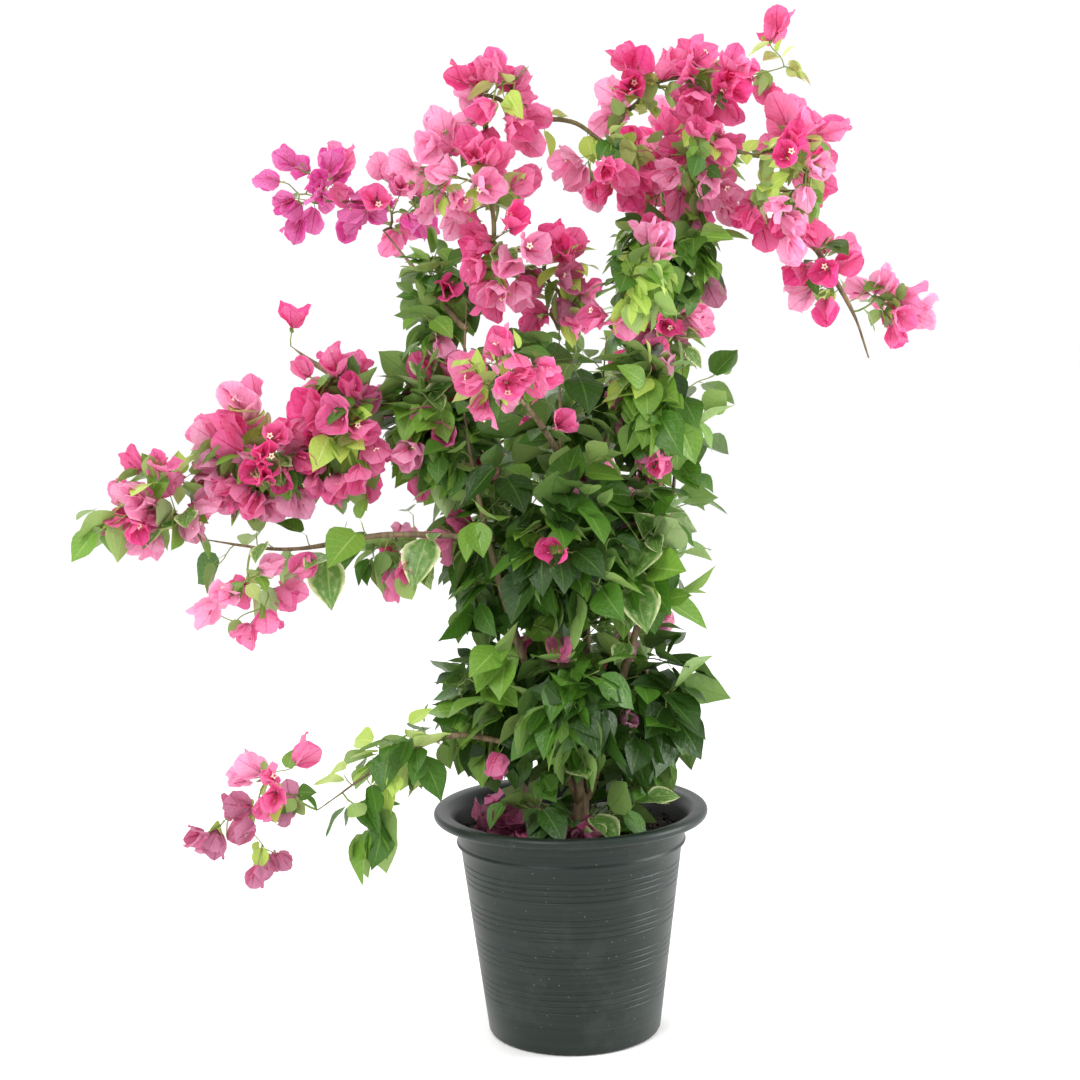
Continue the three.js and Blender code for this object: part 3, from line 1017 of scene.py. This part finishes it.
def add_spray(mass, tip, outward, in_flower, parent):
    spray = {"mass": mass, "outward": outward, "in_flower": in_flower, "first": spot_count}
    spray["last"] = grow_twig(parent, tip, outward + 0.2 * UP)
    sprays.append(spray)


def fill_mass(name):
    """Grows twigs to all the tips of a mass and notes a spray for each."""
    room, flowering = habit_of(name)[:2]
    count = max(1, round(solid_volume(name) * 1e9 / room))
    tips = spread_tips(name, count, BLOOM_MARGIN if name.startswith("bloom_") else LEAF_MARGIN)
    middle = middle_of(name)
    core = 0.75 * middle + 0.25 * spots[nearest_spot(middle)]
    size = np.linalg.norm(np.array(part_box(name)[1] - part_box(name)[0]))
    if gap_to_tree(middle) > 0.35 * size and count > 2:
        goal = tips[np.argmin(np.linalg.norm(tips - middle, axis=1))]
        parent = nearest_spot(middle)
        grow_twig(parent, goal, goal - spots[parent])
    left = list(range(len(tips)))
    while left:
        number = left.pop(int(np.argmin([gap_to_tree(tips[number]) for number in left])))
        tip = tips[number]
        outward = unit(tip - core + jitter(0.004))
        parent = nearest_spot(tip)
        if np.linalg.norm(tip - spots[parent]) < SHORTEST_TWIG:
            tip = tip + outward * SHORTEST_TWIG
        add_spray(name, tip, outward, chance.random() < flowering, parent)


waiting = list(masses)
while waiting:
    name = min((gap_to_tree(middle_of(name)), name) for name in waiting)[1]
    waiting.remove(name)
    fill_mass(name)
    place_near_limbs()
for name in far_limbs:
    place_limb(name)
mass_sprays = len(sprays)
print("sprays:", mass_sprays, "in", len(masses), "masses;", spot_count, "points in all")

# %% [markdown]
# Old canes also push short spurs straight from the wood. They fill the room between the masses, so
# that the inside of the bush is one leafy column and hardly any bare cane shows. A ring of shoots
# springs from the foot of the trunk and fills the mouth of the pot. Each spur leaves the cane 137.5
# degrees round from the last, the golden angle, so that no two stand above each other.

# %% Spurs along the canes
GOLDEN = math.radians(137.5)
SPURS = (
    # limb, (mm between spurs, spur length in mm, height above the soil in mm)
    ("stem_right", (12, (26, 60), 8)),
    ("stem_back", (12, (26, 60), 8)),
    ("stem_", (13, (26, 64), 45)),
    ("bough_lone", (90, (8, 14), 0)),
    ("bough_mid", (15, (10, 30), 0)),
    ("bough_low", (15, (8, 26), 0)),
    ("bough_", (30, (12, 30), 0)),
)
FOOT_SHOOTS, SHOOT_LENGTH = 14, (42, 96)
for run in list(runs):
    if run["owner"] in ("twig", "trunk"):
        continue
    spacing, length, lowest = next(spur for prefix, spur in SPURS if run["owner"].startswith(prefix))
    angle = chance.uniform(0, 2 * math.pi)
    travelled = 0
    for number in range(run["first"] + 2, run["last"] - 5):
        travelled += LIMB_STEP / MM
        if travelled < spacing * chance.uniform(0.8, 1.3) or spots[number][2] < SOIL_TOP + lowest * MM:
            continue
        travelled = 0
        angle += GOLDEN
        way = unit(perpendicular(headings[number], angle) + 0.35 * UP + 0.3 * headings[number])
        tip = spots[number] + way * chance.uniform(*length) * MM
        add_spray("spur_" + run["owner"], tip, way, chance.random() < 0.05, number)
foot = nearest_spot((0, 0, SOIL_TOP))
for number in range(FOOT_SHOOTS):
    angle += GOLDEN
    way = unit(np.array([math.cos(angle), math.sin(angle), 0.55]))
    tip = spots[foot] + way * chance.uniform(*SHOOT_LENGTH) * MM
    add_spray("spur_trunk", tip, way, chance.random() < 0.1, foot)
print("spurs and shoots:", len(sprays) - mass_sprays)

# %% [markdown]
# Each cane is a curve with a round bevel that thins towards its tip. The trunk starts a little below
# the soil, so that no gap shows at its foot. Turned into a mesh, a cane gets its relief from two
# Displace modifiers: long swellings at the old leaf joints, then fine bark.

# %% Cane meshes
BURIED = 0.012
TAPER_FROM, TIP_SHARE = 0.45, 0.45
swelling = bpy.data.textures.new("swelling", "CLOUDS")
swelling.noise_scale = 0.03
cracks = bpy.data.textures.new("cracks", "CLOUDS")
cracks.noise_scale = 0.005
for name, (line, thick) in limb_lines.items():
    if name == "trunk":
        line = np.concatenate([[line[0] - [0, 0, BURIED]], line])
        thick = np.concatenate([[thick[0] * 1.08], thick])
    else:
        share = np.linspace(0, 1, len(thick))
        thick = thick * np.interp(share, (TAPER_FROM, 1.0), (1.0, TIP_SHARE))
    curve = bpy.data.curves.new(name + "_cane", "CURVE")
    curve.dimensions = "3D"
    curve.bevel_depth = 1.0
    curve.bevel_resolution = 6 if name == "trunk" else 3
    curve.use_fill_caps = True
    spline = curve.splines.new("POLY")
    spline.points.add(len(line) - 1)
    spline.points.foreach_set("co", np.concatenate([line, np.ones((len(line), 1))], axis=1).ravel())
    spline.points.foreach_set("radius", thick)
    cane = bpy.data.objects.new(name + "_cane", curve)
    bpy.context.scene.collection.objects.link(cane)
    bpy.ops.object.select_all(action="DESELECT")
    cane.select_set(True)
    bpy.context.view_layer.objects.active = cane
    bpy.ops.object.convert(target="MESH")
    cane = bpy.context.object
    for texture, share in ((swelling, 0.45), (cracks, 0.22)):
        relief = cane.modifiers.new(texture.name, "DISPLACE")
        relief.texture = texture
        relief.texture_coords = "GLOBAL"
        relief.strength = float(share * thick.mean())
        bpy.ops.object.modifier_apply(modifier=texture.name)
    bpy.ops.object.shade_smooth()
    cane.data.materials.clear()
    cane.data.materials.append(old_bark)
    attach(cane, "root")
    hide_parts(name)
print("canes:", len(limb_lines))

# %% [markdown]
# ### Twigs
# There are too many twigs for one curve object each, so their tubes are built as arrays. A ring of
# points is carried along the path, and it turns as little as it can from one step to the next.


# %% Tubes
def tube_arrays(path, radii, sides):
    """Points, corners and face sizes of a closed tube with a radius at each point of its path."""
    along = unit(np.gradient(path, axis=0))
    across = [unit(np.cross(along[0], [0.31, 0.95, 0.07]))]
    for direction in along[1:]:
        across.append(unit(across[-1] - direction * np.dot(across[-1], direction)))
    across = np.array(across)
    other = np.cross(along, across)
    turn = np.linspace(0, 2 * np.pi, sides, endpoint=False)[None, :, None]
    ring = across[:, None] * np.cos(turn) + other[:, None] * np.sin(turn)
    points = (path[:, None] + ring * radii[:, None, None]).reshape(-1, 3)
    k = np.arange(sides)
    rows = sides * np.arange(len(path) - 1)[:, None]
    after = (k + 1) % sides
    quads = np.stack([rows + k, rows + after, rows + sides + after, rows + sides + k], axis=-1)
    top = (len(path) - 1) * sides + k
    corners = np.concatenate([quads.ravel(), k[::-1], top])
    face_sizes = np.concatenate([np.full(quads.shape[0] * sides, 4), [sides, sides]])
    return points, corners, face_sizes


def join_tubes(name, tubes, material, slot):
    """One mesh from many tubes, each a triple of points, corners and face sizes."""
    points, corners, sizes, start = [], [], [], 0
    for tube_points, tube_corners, tube_sizes in tubes:
        points.append(tube_points)
        corners.append(tube_corners + start)
        sizes.append(tube_sizes)
        start += len(tube_points)
    arrays = np.concatenate(points), np.concatenate(corners), np.concatenate(sizes)
    return make_piece(name, *arrays, material, slot)


straight = tube_arrays(np.outer(np.arange(3.0), UP), np.ones(3), 6)
print("a tube of three rings:", len(straight[0]), "points and", len(straight[2]), "faces")

# %% [markdown]
# A twig must feed all that grows beyond it. Its radius follows the number of tips that it carries, by
# a power below one half, as sap channels do. Young twigs are green, and older ones are brown. The
# tips are counted from the last point back to the first, each point handing its load to its parent.

# %% Twig meshes
FINEST, THICKEST, POWER = 0.75 * MM, 2.6 * MM, 0.28
ON_A_CANE = 2.2 * MM
BROWN_FROM = 1.25 * MM
loads = np.zeros(spot_count)
for spray in sprays:
    loads[spray["last"]] += 1
for number in range(spot_count - 1, 0, -1):
    parent = parents[number]
    if number in limb_numbers:
        loads[number] = max(loads[number], (ON_A_CANE / FINEST) ** (1 / POWER))
    along_cane = number in limb_numbers and parent in limb_numbers
    if parent >= 0 and not along_cane:
        loads[parent] += loads[number]
radii = np.minimum(FINEST * np.maximum(loads, 1) ** POWER, THICKEST)
tubes = {"brown": [], "green": []}
for run in runs:
    if run["owner"] != "twig":
        continue
    index = np.arange(run["first"], run["last"] + 1)
    path = np.concatenate([[spots[run["parent"]]], spots[index]])
    thick = np.concatenate([[radii[index[0]]], radii[index]])
    taper = np.linspace(1.0, 0.8, len(thick))
    kind = "brown" if thick.mean() > BROWN_FROM else "green"
    tubes[kind].append(tube_arrays(path, thick * taper, 6 if kind == "brown" else 5))
brown_twigs = join_tubes("twigs_brown", tubes["brown"], twig_bark, "bark")
green_twigs = join_tubes("twigs_green", tubes["green"], green_stalk, "leaf")
print("twig meshes:", len(tubes["brown"]), "brown and", len(tubes["green"]), "green")

# %% [markdown]
# ## One leaf and one bract
# Both are thin blades, drawn one unit long from stalk to tip. A row of half-widths gives the outline:
# a bougainvillea leaf is a broad oval with a drawn-out tip, and a bract is rounder, with a heart-shaped
# foot and a wavy margin. The fold lifts both halves, and the curl bends the tip back.

# %% Blade shapes
LEAF_OUTLINE = (
    (0.03, 0.13),
    (0.11, 0.27),
    (0.22, 0.355),
    (0.35, 0.39),
    (0.50, 0.365),
    (0.64, 0.29),
    (0.77, 0.19),
    (0.89, 0.085),
)
BRACT_OUTLINE = (
    (0.04, 0.21),
    (0.16, 0.385),
    (0.36, 0.475),
    (0.58, 0.45),
    (0.79, 0.335),
    (0.94, 0.15),
)


def blade(outline, columns, fold, curl, wave, sway=0.0, phase=0.0, crumple=0.0):
    """A blade of this many columns across. Sway bends it sideways, and crumple dents it."""
    shares = np.linspace(-1, 1, columns + 1)
    points, uv = [(0, 0, 0)], [(0.5, 0)]
    for t, width in outline:
        for share in shares:
            lift = fold * abs(share) * width - curl * t**2
            ruffle = wave * share**2 * math.sin(9.5 * t + phase + (2.1 if share > 0 else 0))
            dent = crumple * math.sin(17 * t + 3 * phase) * math.sin(7 * share + 2 + phase)
            lobe = 0.05 * abs(share) * (t < 0.1)
            points.append((share * width + sway * t**2, t - lobe, lift + ruffle + dent))
            uv.append((0.5 + 0.5 * share, t))
    points.append((sway, 1.0, -curl))
    uv.append((0.5, 1))
    wide, faces = columns + 1, []
    for column in range(columns):
        faces.append((0, 2 + column, 1 + column))
        for row in range(len(outline) - 1):
            a = 1 + row * wide + column
            faces.append((a, a + 1, a + 1 + wide, a + wide))
        a = 1 + (len(outline) - 1) * wide + column
        faces.append((a, a + 1, len(points) - 1))
    return shape_of(points, faces, uv)


leaf_shapes = [
    # columns, fold, curl, wave, sway, phase
    blade(LEAF_OUTLINE, 4, 0.30, 0.10, 0.012),
    blade(LEAF_OUTLINE, 4, 0.18, 0.22, 0.020, 0.05, 1.0),
    blade(LEAF_OUTLINE, 4, 0.45, 0.04, 0.016, -0.05, 2.2),
    blade(LEAF_OUTLINE, 4, 0.10, 0.30, 0.025, 0.03, 3.1),
]
bract_shapes = [
    # columns, fold, curl, wave, sway, phase, crumple
    blade(BRACT_OUTLINE, 6, 0.30, -0.16, 0.065, 0.0, 0.0, 0.035),
    blade(BRACT_OUTLINE, 6, 0.42, -0.24, 0.080, 0.04, 1.3, 0.040),
    blade(BRACT_OUTLINE, 6, 0.18, -0.04, 0.090, -0.05, 2.6, 0.045),
    blade(BRACT_OUTLINE, 6, 0.52, -0.30, 0.075, 0.0, 4.0, 0.040),
]
leaf_faces, bract_faces = len(leaf_shapes[0]["sizes"]), len(bract_shapes[0]["sizes"])
print("blades:", leaf_faces, "faces on a leaf,", bract_faces, "on a bract")

# %% [markdown]
# ## Which colours grow where
# Old leaves inside the bush are dark, those on the arms are fresher, and the newest are lime. The deep
# green of the inner leaves is also darkened as painted shade for the inside of the bush. Some shoots on
# the right carry cream-edged leaves. The bracts fade as they age: those of the dome are a strong pink,
# the left arm is nearer magenta, and the low arm has faded. The dusky rose, which is dealt most to the
# low arm, is both a faded colour and painted shade.

# %% Colour shares
LEAF_SHARES = (
    ("leaves_low_right", {"deep": 4, "mid": 4, "fresh": 1, "edged": 1.4}),
    ("leaves_mid_right", {"deep": 4, "mid": 4, "fresh": 2, "edged": 1.4}),
    ("leaves_low", {"deep": 5, "mid": 4, "fresh": 1, "edged": 0.5}),
    ("leaves_mid_left", {"deep": 3, "mid": 5, "fresh": 4, "edged": 1}),
    ("leaves_mid", {"deep": 5, "mid": 4, "fresh": 1.5, "edged": 0.3}),
    ("leaves_high_left", {"deep": 1, "mid": 4, "fresh": 5, "lime": 1, "edged": 1.5}),
    ("leaves_high", {"deep": 1, "mid": 4, "fresh": 5, "lime": 0.5, "edged": 1}),
    ("leaves_dome", {"deep": 1.5, "mid": 5, "fresh": 4, "lime": 1}),
    ("spur_trunk", {"deep": 2, "mid": 4, "fresh": 1, "edged": 2}),
    ("spur_stem_right", {"deep": 4, "mid": 4, "fresh": 2, "edged": 2}),
    ("spur_stem", {"deep": 5, "mid": 4, "fresh": 2}),
    ("spur_", {"mid": 4, "fresh": 5, "lime": 2, "edged": 1}),
    ("leaves_left_top", {"deep": 1, "mid": 5, "fresh": 4, "lime": 1}),
    ("leaves_", {"mid": 4, "fresh": 5, "lime": 2}),
    ("bloom_dome_right", {"fresh": 3, "lime": 6}),
    ("bloom_", {"mid": 2, "fresh": 5, "lime": 5, "edged": 1}),
)
BRACT_SHARES = (
    ("bloom_dome", {"deep": 4, "rose": 4, "pale": 2}),
    ("bloom_top", {"deep": 1.5, "rose": 4, "pale": 4}),
    ("bloom_arm_high", {"magenta": 7, "rose": 2, "pale": 1.5}),
    ("bloom_arm_mid_inner", {"deep": 4, "rose": 4, "pale": 1}),
    ("bloom_arm_mid", {"deep": 1.5, "rose": 4, "pale": 4}),
    ("bloom_arm_low", {"rose": 3, "pale": 3, "faded_and_shaded": 4}),
    ("bloom_droop", {"deep": 1.5, "rose": 5, "pale": 3}),
    ("bloom_front", {"deep": 3, "rose": 4, "pale": 1}),
    ("bloom_gap", {"deep": 2, "rose": 4, "faded_and_shaded": 1}),
    ("", {"deep": 2, "rose": 4, "pale": 3, "faded_and_shaded": 1}),
)


def deal(table, mass):
    """A kind drawn at random by the shares that the table gives for a mass."""
    shares = next(shares for prefix, shares in table if mass.startswith(prefix))
    kinds = list(shares)
    weights = np.array(list(shares.values()), float)
    return kinds[chance.choice(len(kinds), p=weights / weights.sum())]


print("shares:", len(LEAF_SHARES), "rows of greens and", len(BRACT_SHARES), "of pinks")

# %% [markdown]
# ## Leaves on the sprays
# Bougainvillea leaves sit singly, each about 137 degrees round the twig from the last. A short stalk
# leans forwards from the joint, and the blade hangs from its end with its face outwards and upwards,
# where the light comes from. Long blades droop the most, and the youngest, at the tip, is smaller.

# %% Grow the leaves
LONG_BLADE = 26
YOUNGEST = 0.7
blades = {kind: [] for kind in leaf_kinds}
stalks = []


def leaf_at(point, heading, angle, outward, kind, length, droop):
    """Notes one leaf and its stalk at a joint of the twig."""
    stalk_way = unit(0.9 * perpendicular(heading, angle) + 0.7 * heading + 0.3 * outward)
    stalk = length * chance.uniform(0.16, 0.3)
    foot = point + stalk_way * stalk
    along = 0.5 * stalk_way + 0.45 * outward - droop * UP + jitter(0.28)
    normal = 0.75 * outward + 0.6 * UP + jitter(0.34)
    blades[kind].append((foot, along, normal, length))
    stalks.append((point, stalk_way, perpendicular(stalk_way, angle), stalk))


def joints_back(last, count, step):
    """Joints from a twig's tip back towards the cane, one every few points of the skeleton."""
    found, here = [], last
    while len(found) < count and here not in limb_numbers:
        found.append(here)
        for _ in range(step):
            here = parents[here]
    return found


for spray in sprays:
    mass = spray["mass"]
    leaf_count, leaf_length = habit_of(mass)[2:4]
    kind = deal(LEAF_SHARES, mass)
    start = parents[spray["last"]] if spray["in_flower"] else spray["last"]
    angle = chance.uniform(0, 2 * math.pi)
    joints = joints_back(start, chance.integers(*leaf_count), chance.integers(1, 3))
    for number, joint in enumerate(joints):
        angle += GOLDEN
        size = chance.uniform(*leaf_length) * (YOUNGEST if number == 0 else 1.0)
        droop = chance.uniform(0.15, 1.0) if size > LONG_BLADE else chance.uniform(-0.2, 0.6)
        leaf_at(spots[joint], headings[joint], angle, spray["outward"], kind, size * MM, droop)
print("leaves:", sum(len(found) for found in blades.values()), "on", len(sprays), "sprays")

# %% [markdown]
# ## Bracts and flowers
# What looks like a petal is a bract, a papery leaf. Three of them stand round three slender tubes, and
# one tube at a time opens a small cream star. A flowering spray ends in one such lantern.

# %% One lantern
TUBE_LENGTH, TUBE_OFFSET, STAR_SIZE = 17 * MM, 1.5 * MM, 4.2 * MM
BRACT_OFFSET = 1.2 * MM
OPEN_SHARE = 0.4
papers = {kind: [] for kind in bract_kinds}
flower_tubes, stars, flower_stalks = [], [], []


def lantern(foot, axis, kind, length):
    """Three bracts round an axis, with their tubes and sometimes an open star."""
    spin = chance.uniform(0, 2 * math.pi)
    opening = math.radians(chance.uniform(14, 46))
    for turn in range(3):
        angle = spin + turn * 2 * math.pi / 3 + chance.normal(0, 0.15)
        radial = perpendicular(axis, angle)
        lean = opening + chance.normal(0, 0.12)
        along = math.cos(lean) * axis + math.sin(lean) * radial
        normal = math.sin(lean) * axis - math.cos(lean) * radial
        along = along + jitter(0.06)
        size = length * chance.uniform(0.9, 1.1)
        papers[kind].append((foot + radial * BRACT_OFFSET, along, normal, size))
        tube = unit(axis + 0.35 * radial)
        tube_foot = foot + radial * TUBE_OFFSET
        flower_tubes.append((tube_foot, tube, radial, TUBE_LENGTH))
        if turn == 0 and chance.random() < OPEN_SHARE:
            stars.append((tube_foot + tube * TUBE_LENGTH, perpendicular(tube, 1.0), tube, STAR_SIZE))


print("a lantern's tubes are", round(TUBE_LENGTH / MM), "mm long")

# %% [markdown]
# The lantern at the tip looks outwards. Up to three more hang on short stalks from the joints behind
# it, each the golden angle round from the last, which makes the loose panicle of a bougainvillea.

# %% Grow the bracts
BRACT_LENGTH = (27, 34.5)
for spray in [spray for spray in sprays if spray["in_flower"]]:
    mass, last = spray["mass"], spray["last"]
    kind = deal(BRACT_SHARES, mass)
    tip, heading, outward = spots[last], headings[last], spray["outward"]
    length = chance.uniform(*BRACT_LENGTH) * MM
    lantern(tip, unit(0.8 * outward + 0.5 * heading - 0.1 * UP + jitter(0.4)), kind, length)
    extra = chance.integers(*habit_of(mass)[4])
    angle = chance.uniform(0, 2 * math.pi)
    for number in range(extra):
        joint = max(spray["first"], last - 1 - number)
        angle += GOLDEN
        way = unit(0.9 * perpendicular(headings[joint], angle) + 0.5 * headings[joint] + 0.4 * outward)
        stalk = chance.uniform(14, 26) * MM
        flower_stalks.append((spots[joint], way, perpendicular(way, 0.5), stalk))
        axis = unit(way + 0.4 * outward - 0.15 * UP + jitter(0.35))
        lantern(spots[joint] + way * stalk, axis, kind, length * chance.uniform(0.85, 1.05))
print("bracts:", sum(len(found) for found in papers.values()), "and", len(stars), "open stars")

# %% [markdown]
# ## Fallen bracts on the soil
# Papery bracts drop all season and fade to a dusky rose where they lie, most of them on the left and
# in front. One in three lies heaped against the wall, and a few green leaves have dropped too. A blade
# that would reach through the wall is turned back into the pot.

# %% Litter
FALLEN_BRACTS, FALLEN_LEAVES = 90, 7
WALL_ROOM = SOIL_RADIUS - 12 * MM


def on_soil(reach_low, reach_high, from_angle, to_angle, pile=6):
    """A place on the soil at a reach and an angle in degrees, up to a pile's height in mm above it."""
    angle = math.radians(chance.uniform(from_angle, to_angle))
    reach = chance.uniform(reach_low, reach_high)
    height = SOIL_TOP + chance.uniform(0, pile) * MM
    return np.array([math.cos(angle) * reach, math.sin(angle) * reach, height])


def off_the_wall(spot, way, size):
    """The way turned back into the pot where a blade of this size would reach through the wall."""
    radial = unit(spot * [1, 1, 0])
    way = unit(way)
    if np.hypot(*(spot + way * size)[:2]) > WALL_ROOM:
        way = way - 2 * radial * (way @ radial)
    return way


for number in range(FALLEN_BRACTS):
    against_wall = number % 3 == 0
    if against_wall:
        spot = on_soil(0.085, WALL_ROOM, 135, 230, 24)
    else:
        spot = on_soil(0.035, WALL_ROOM, 160, 295, 10)
    kind = {5: "rose", 2: "faded_and_shaded", 7: "faded_and_shaded", 9: "faded_and_shaded"}.get(number % 11, "fallen")
    size = chance.uniform(20, 32) * MM
    way = off_the_wall(spot, jitter(1.0) * [1, 1, 0.6 if against_wall else 0.25], size)
    papers[kind].append((spot, way, UP + jitter(0.8), size))
for number in range(FALLEN_LEAVES):
    spot = on_soil(0.03, WALL_ROOM, -60, 70)
    kind = "edged" if number % 2 else "mid"
    size = chance.uniform(30, 42) * MM
    way = off_the_wall(spot, jitter(1.0) * [1, 1, 0.1], size)
    blades[kind].append((spot, way, UP + jitter(0.3), size))
print("litter:", FALLEN_BRACTS, "bracts and", FALLEN_LEAVES, "leaves")

# %% [markdown]
# ## Join each kind
# Each colour is one mesh. A blade that would stick out past the imported outline by more than a stalk's
# length is left off, as it would change the bush's size.

# %% Joined blades
REACH = np.array([24, 14, 26]) * MM
box_low, box_high = np.array(cad_box[0]) - REACH, np.array(cad_box[1]) + REACH
leaf_nodes = [name for name in masses if name.startswith("leaves_")]
bloom_nodes = [name for name in masses if name.startswith("bloom_")]


def join_blades(name, entries, shapes, material, slot):
    """One mesh of all the blades of a kind, each drawn at random from its few shapes."""
    picks = chance.integers(len(shapes), size=len(entries))
    batches = []
    for number, shape in enumerate(shapes):
        chosen = [entry for entry, pick in zip(entries, picks) if pick == number]
        if not chosen:
            continue
        copies = scatter(shape, *(np.array(column) for column in zip(*chosen)))
        fits = ((copies >= box_low) & (copies <= box_high)).all(axis=(1, 2))
        batches.append((shape, copies[fits]))
    return join_copies(name, batches, material, slot)


foliage, paper = {}, {}
for kind, material in leaf_kinds.items():
    foliage[kind] = join_blades("leaves_" + kind, blades[kind], leaf_shapes, material, "leaf")
for kind, material in bract_kinds.items():
    paper[kind] = join_blades("bracts_" + kind, papers[kind], bract_shapes, material, "bract")
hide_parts(*leaf_nodes)
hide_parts(*bloom_nodes)
print("blade meshes:", len(foliage), "of leaves and", len(paper), "of bracts")

# %% [markdown]
# Stalks and flower tubes are slim prisms. A tube is swollen below its middle and flares at its mouth,
# and the open star on it is a shallow dish with five points.


# %% Stalks, tubes and stars
def prism(sides, rings):
    """A thin stalk one unit long. Each ring is (place along it, half-width)."""
    points, faces = [], []
    for share, half in rings:
        for k in range(sides):
            turn = 2 * math.pi * k / sides
            points.append((half * math.cos(turn), share, half * math.sin(turn)))
    for row in range(len(rings) - 1):
        for k in range(sides):
            a, b = row * sides + k, row * sides + (k + 1) % sides
            faces.append((a, a + sides, b + sides, b))
    faces.append(tuple(range(sides)))
    faces.append(tuple(reversed(range((len(rings) - 1) * sides, len(rings) * sides))))
    return shape_of(points, faces)


def star(points, waist, lift, depth):
    """A star with its points at one unit, its waist drawn in, and its middle sunk."""
    rim = []
    for k in range(2 * points):
        turn = 2 * math.pi * k / (2 * points)
        reach, height = (1.0, lift) if k % 2 == 0 else (waist, 0.0)
        rim.append((reach * math.cos(turn), reach * math.sin(turn), height))
    faces = [(0, 1 + k, 1 + (k + 1) % len(rim)) for k in range(len(rim))]
    return shape_of([(0, 0, -depth)] + rim, faces)


def join_small(name, shape, entries, material, slot):
    columns = [np.array(column) for column in zip(*entries)]
    return join_copies(name, [(shape, scatter(shape, *columns))], material, slot)


tube_paint, _ = new_material("flower_tube", "#c9577f", 0.55)
star_paint, _ = new_material("flower_cream", "#f3eecb", 0.6)
stalk_shape = prism(4, ((0, 0.045), (1, 0.03)))
tube_shape = prism(5, ((0, 0.05), (0.35, 0.085), (0.75, 0.05), (1, 0.075)))
small_parts = [
    join_small("leaf_stalks", stalk_shape, stalks + flower_stalks, green_stalk, "leaf"),
    join_small("flower_tubes", tube_shape, flower_tubes, tube_paint, "bract"),
    join_small("flower_stars", star(5, 0.55, 0.12, 0.25), stars, star_paint, "bract"),
]
total = 0
for piece in (*foliage.values(), *paper.values(), *small_parts, brown_twigs, green_twigs):
    total += triangles_in(piece)
    print(piece.name, triangles_in(piece), "triangles")
print("blades, stalks and twigs:", total, "triangles")

# %% [markdown]
# ## Crumbs of peat
# The surface of the soil is loose. Small uneven crumbs lie on it, each a ball with its corners moved.
# Three such balls are enough, as every crumb is also turned and stretched in its own way.

# %% Crumbs
CRUMBS, BALLS = 420, 3
CRUMB_SIZE = (1.0, 3.2)
bpy.ops.object.select_all(action="DESELECT")
bpy.ops.mesh.primitive_ico_sphere_add(subdivisions=1, radius=1)
ball = bpy.context.object
ball_points = np.array([vertex.co for vertex in ball.data.vertices])
ball_faces = [tuple(face.vertices) for face in ball.data.polygons]
bpy.data.objects.remove(ball)
batches = []
for _ in range(BALLS):
    dents = chance.uniform(-0.3, 0.3, (len(ball_points), 1))
    shape = shape_of(ball_points * (1 + dents), ball_faces)
    places = np.array([on_soil(0.02, 0.118, 0, 360) for _ in range(CRUMBS // BALLS)])
    count = len(places)
    sizes = chance.uniform(*CRUMB_SIZE, (count, 1)) * chance.uniform(0.6, 1.2, (count, 3)) * MM
    ways = [jitter(1, (count, 3)) for _ in range(2)]
    batches.append((shape, scatter(shape, places - [0, 0, 2 * MM], *ways, sizes)))
crumbs = join_copies("peat_crumbs", batches, crumb_earth, "potting_soil")
print("crumbs:", CRUMBS, "of", triangles_in(crumbs), "triangles in all")
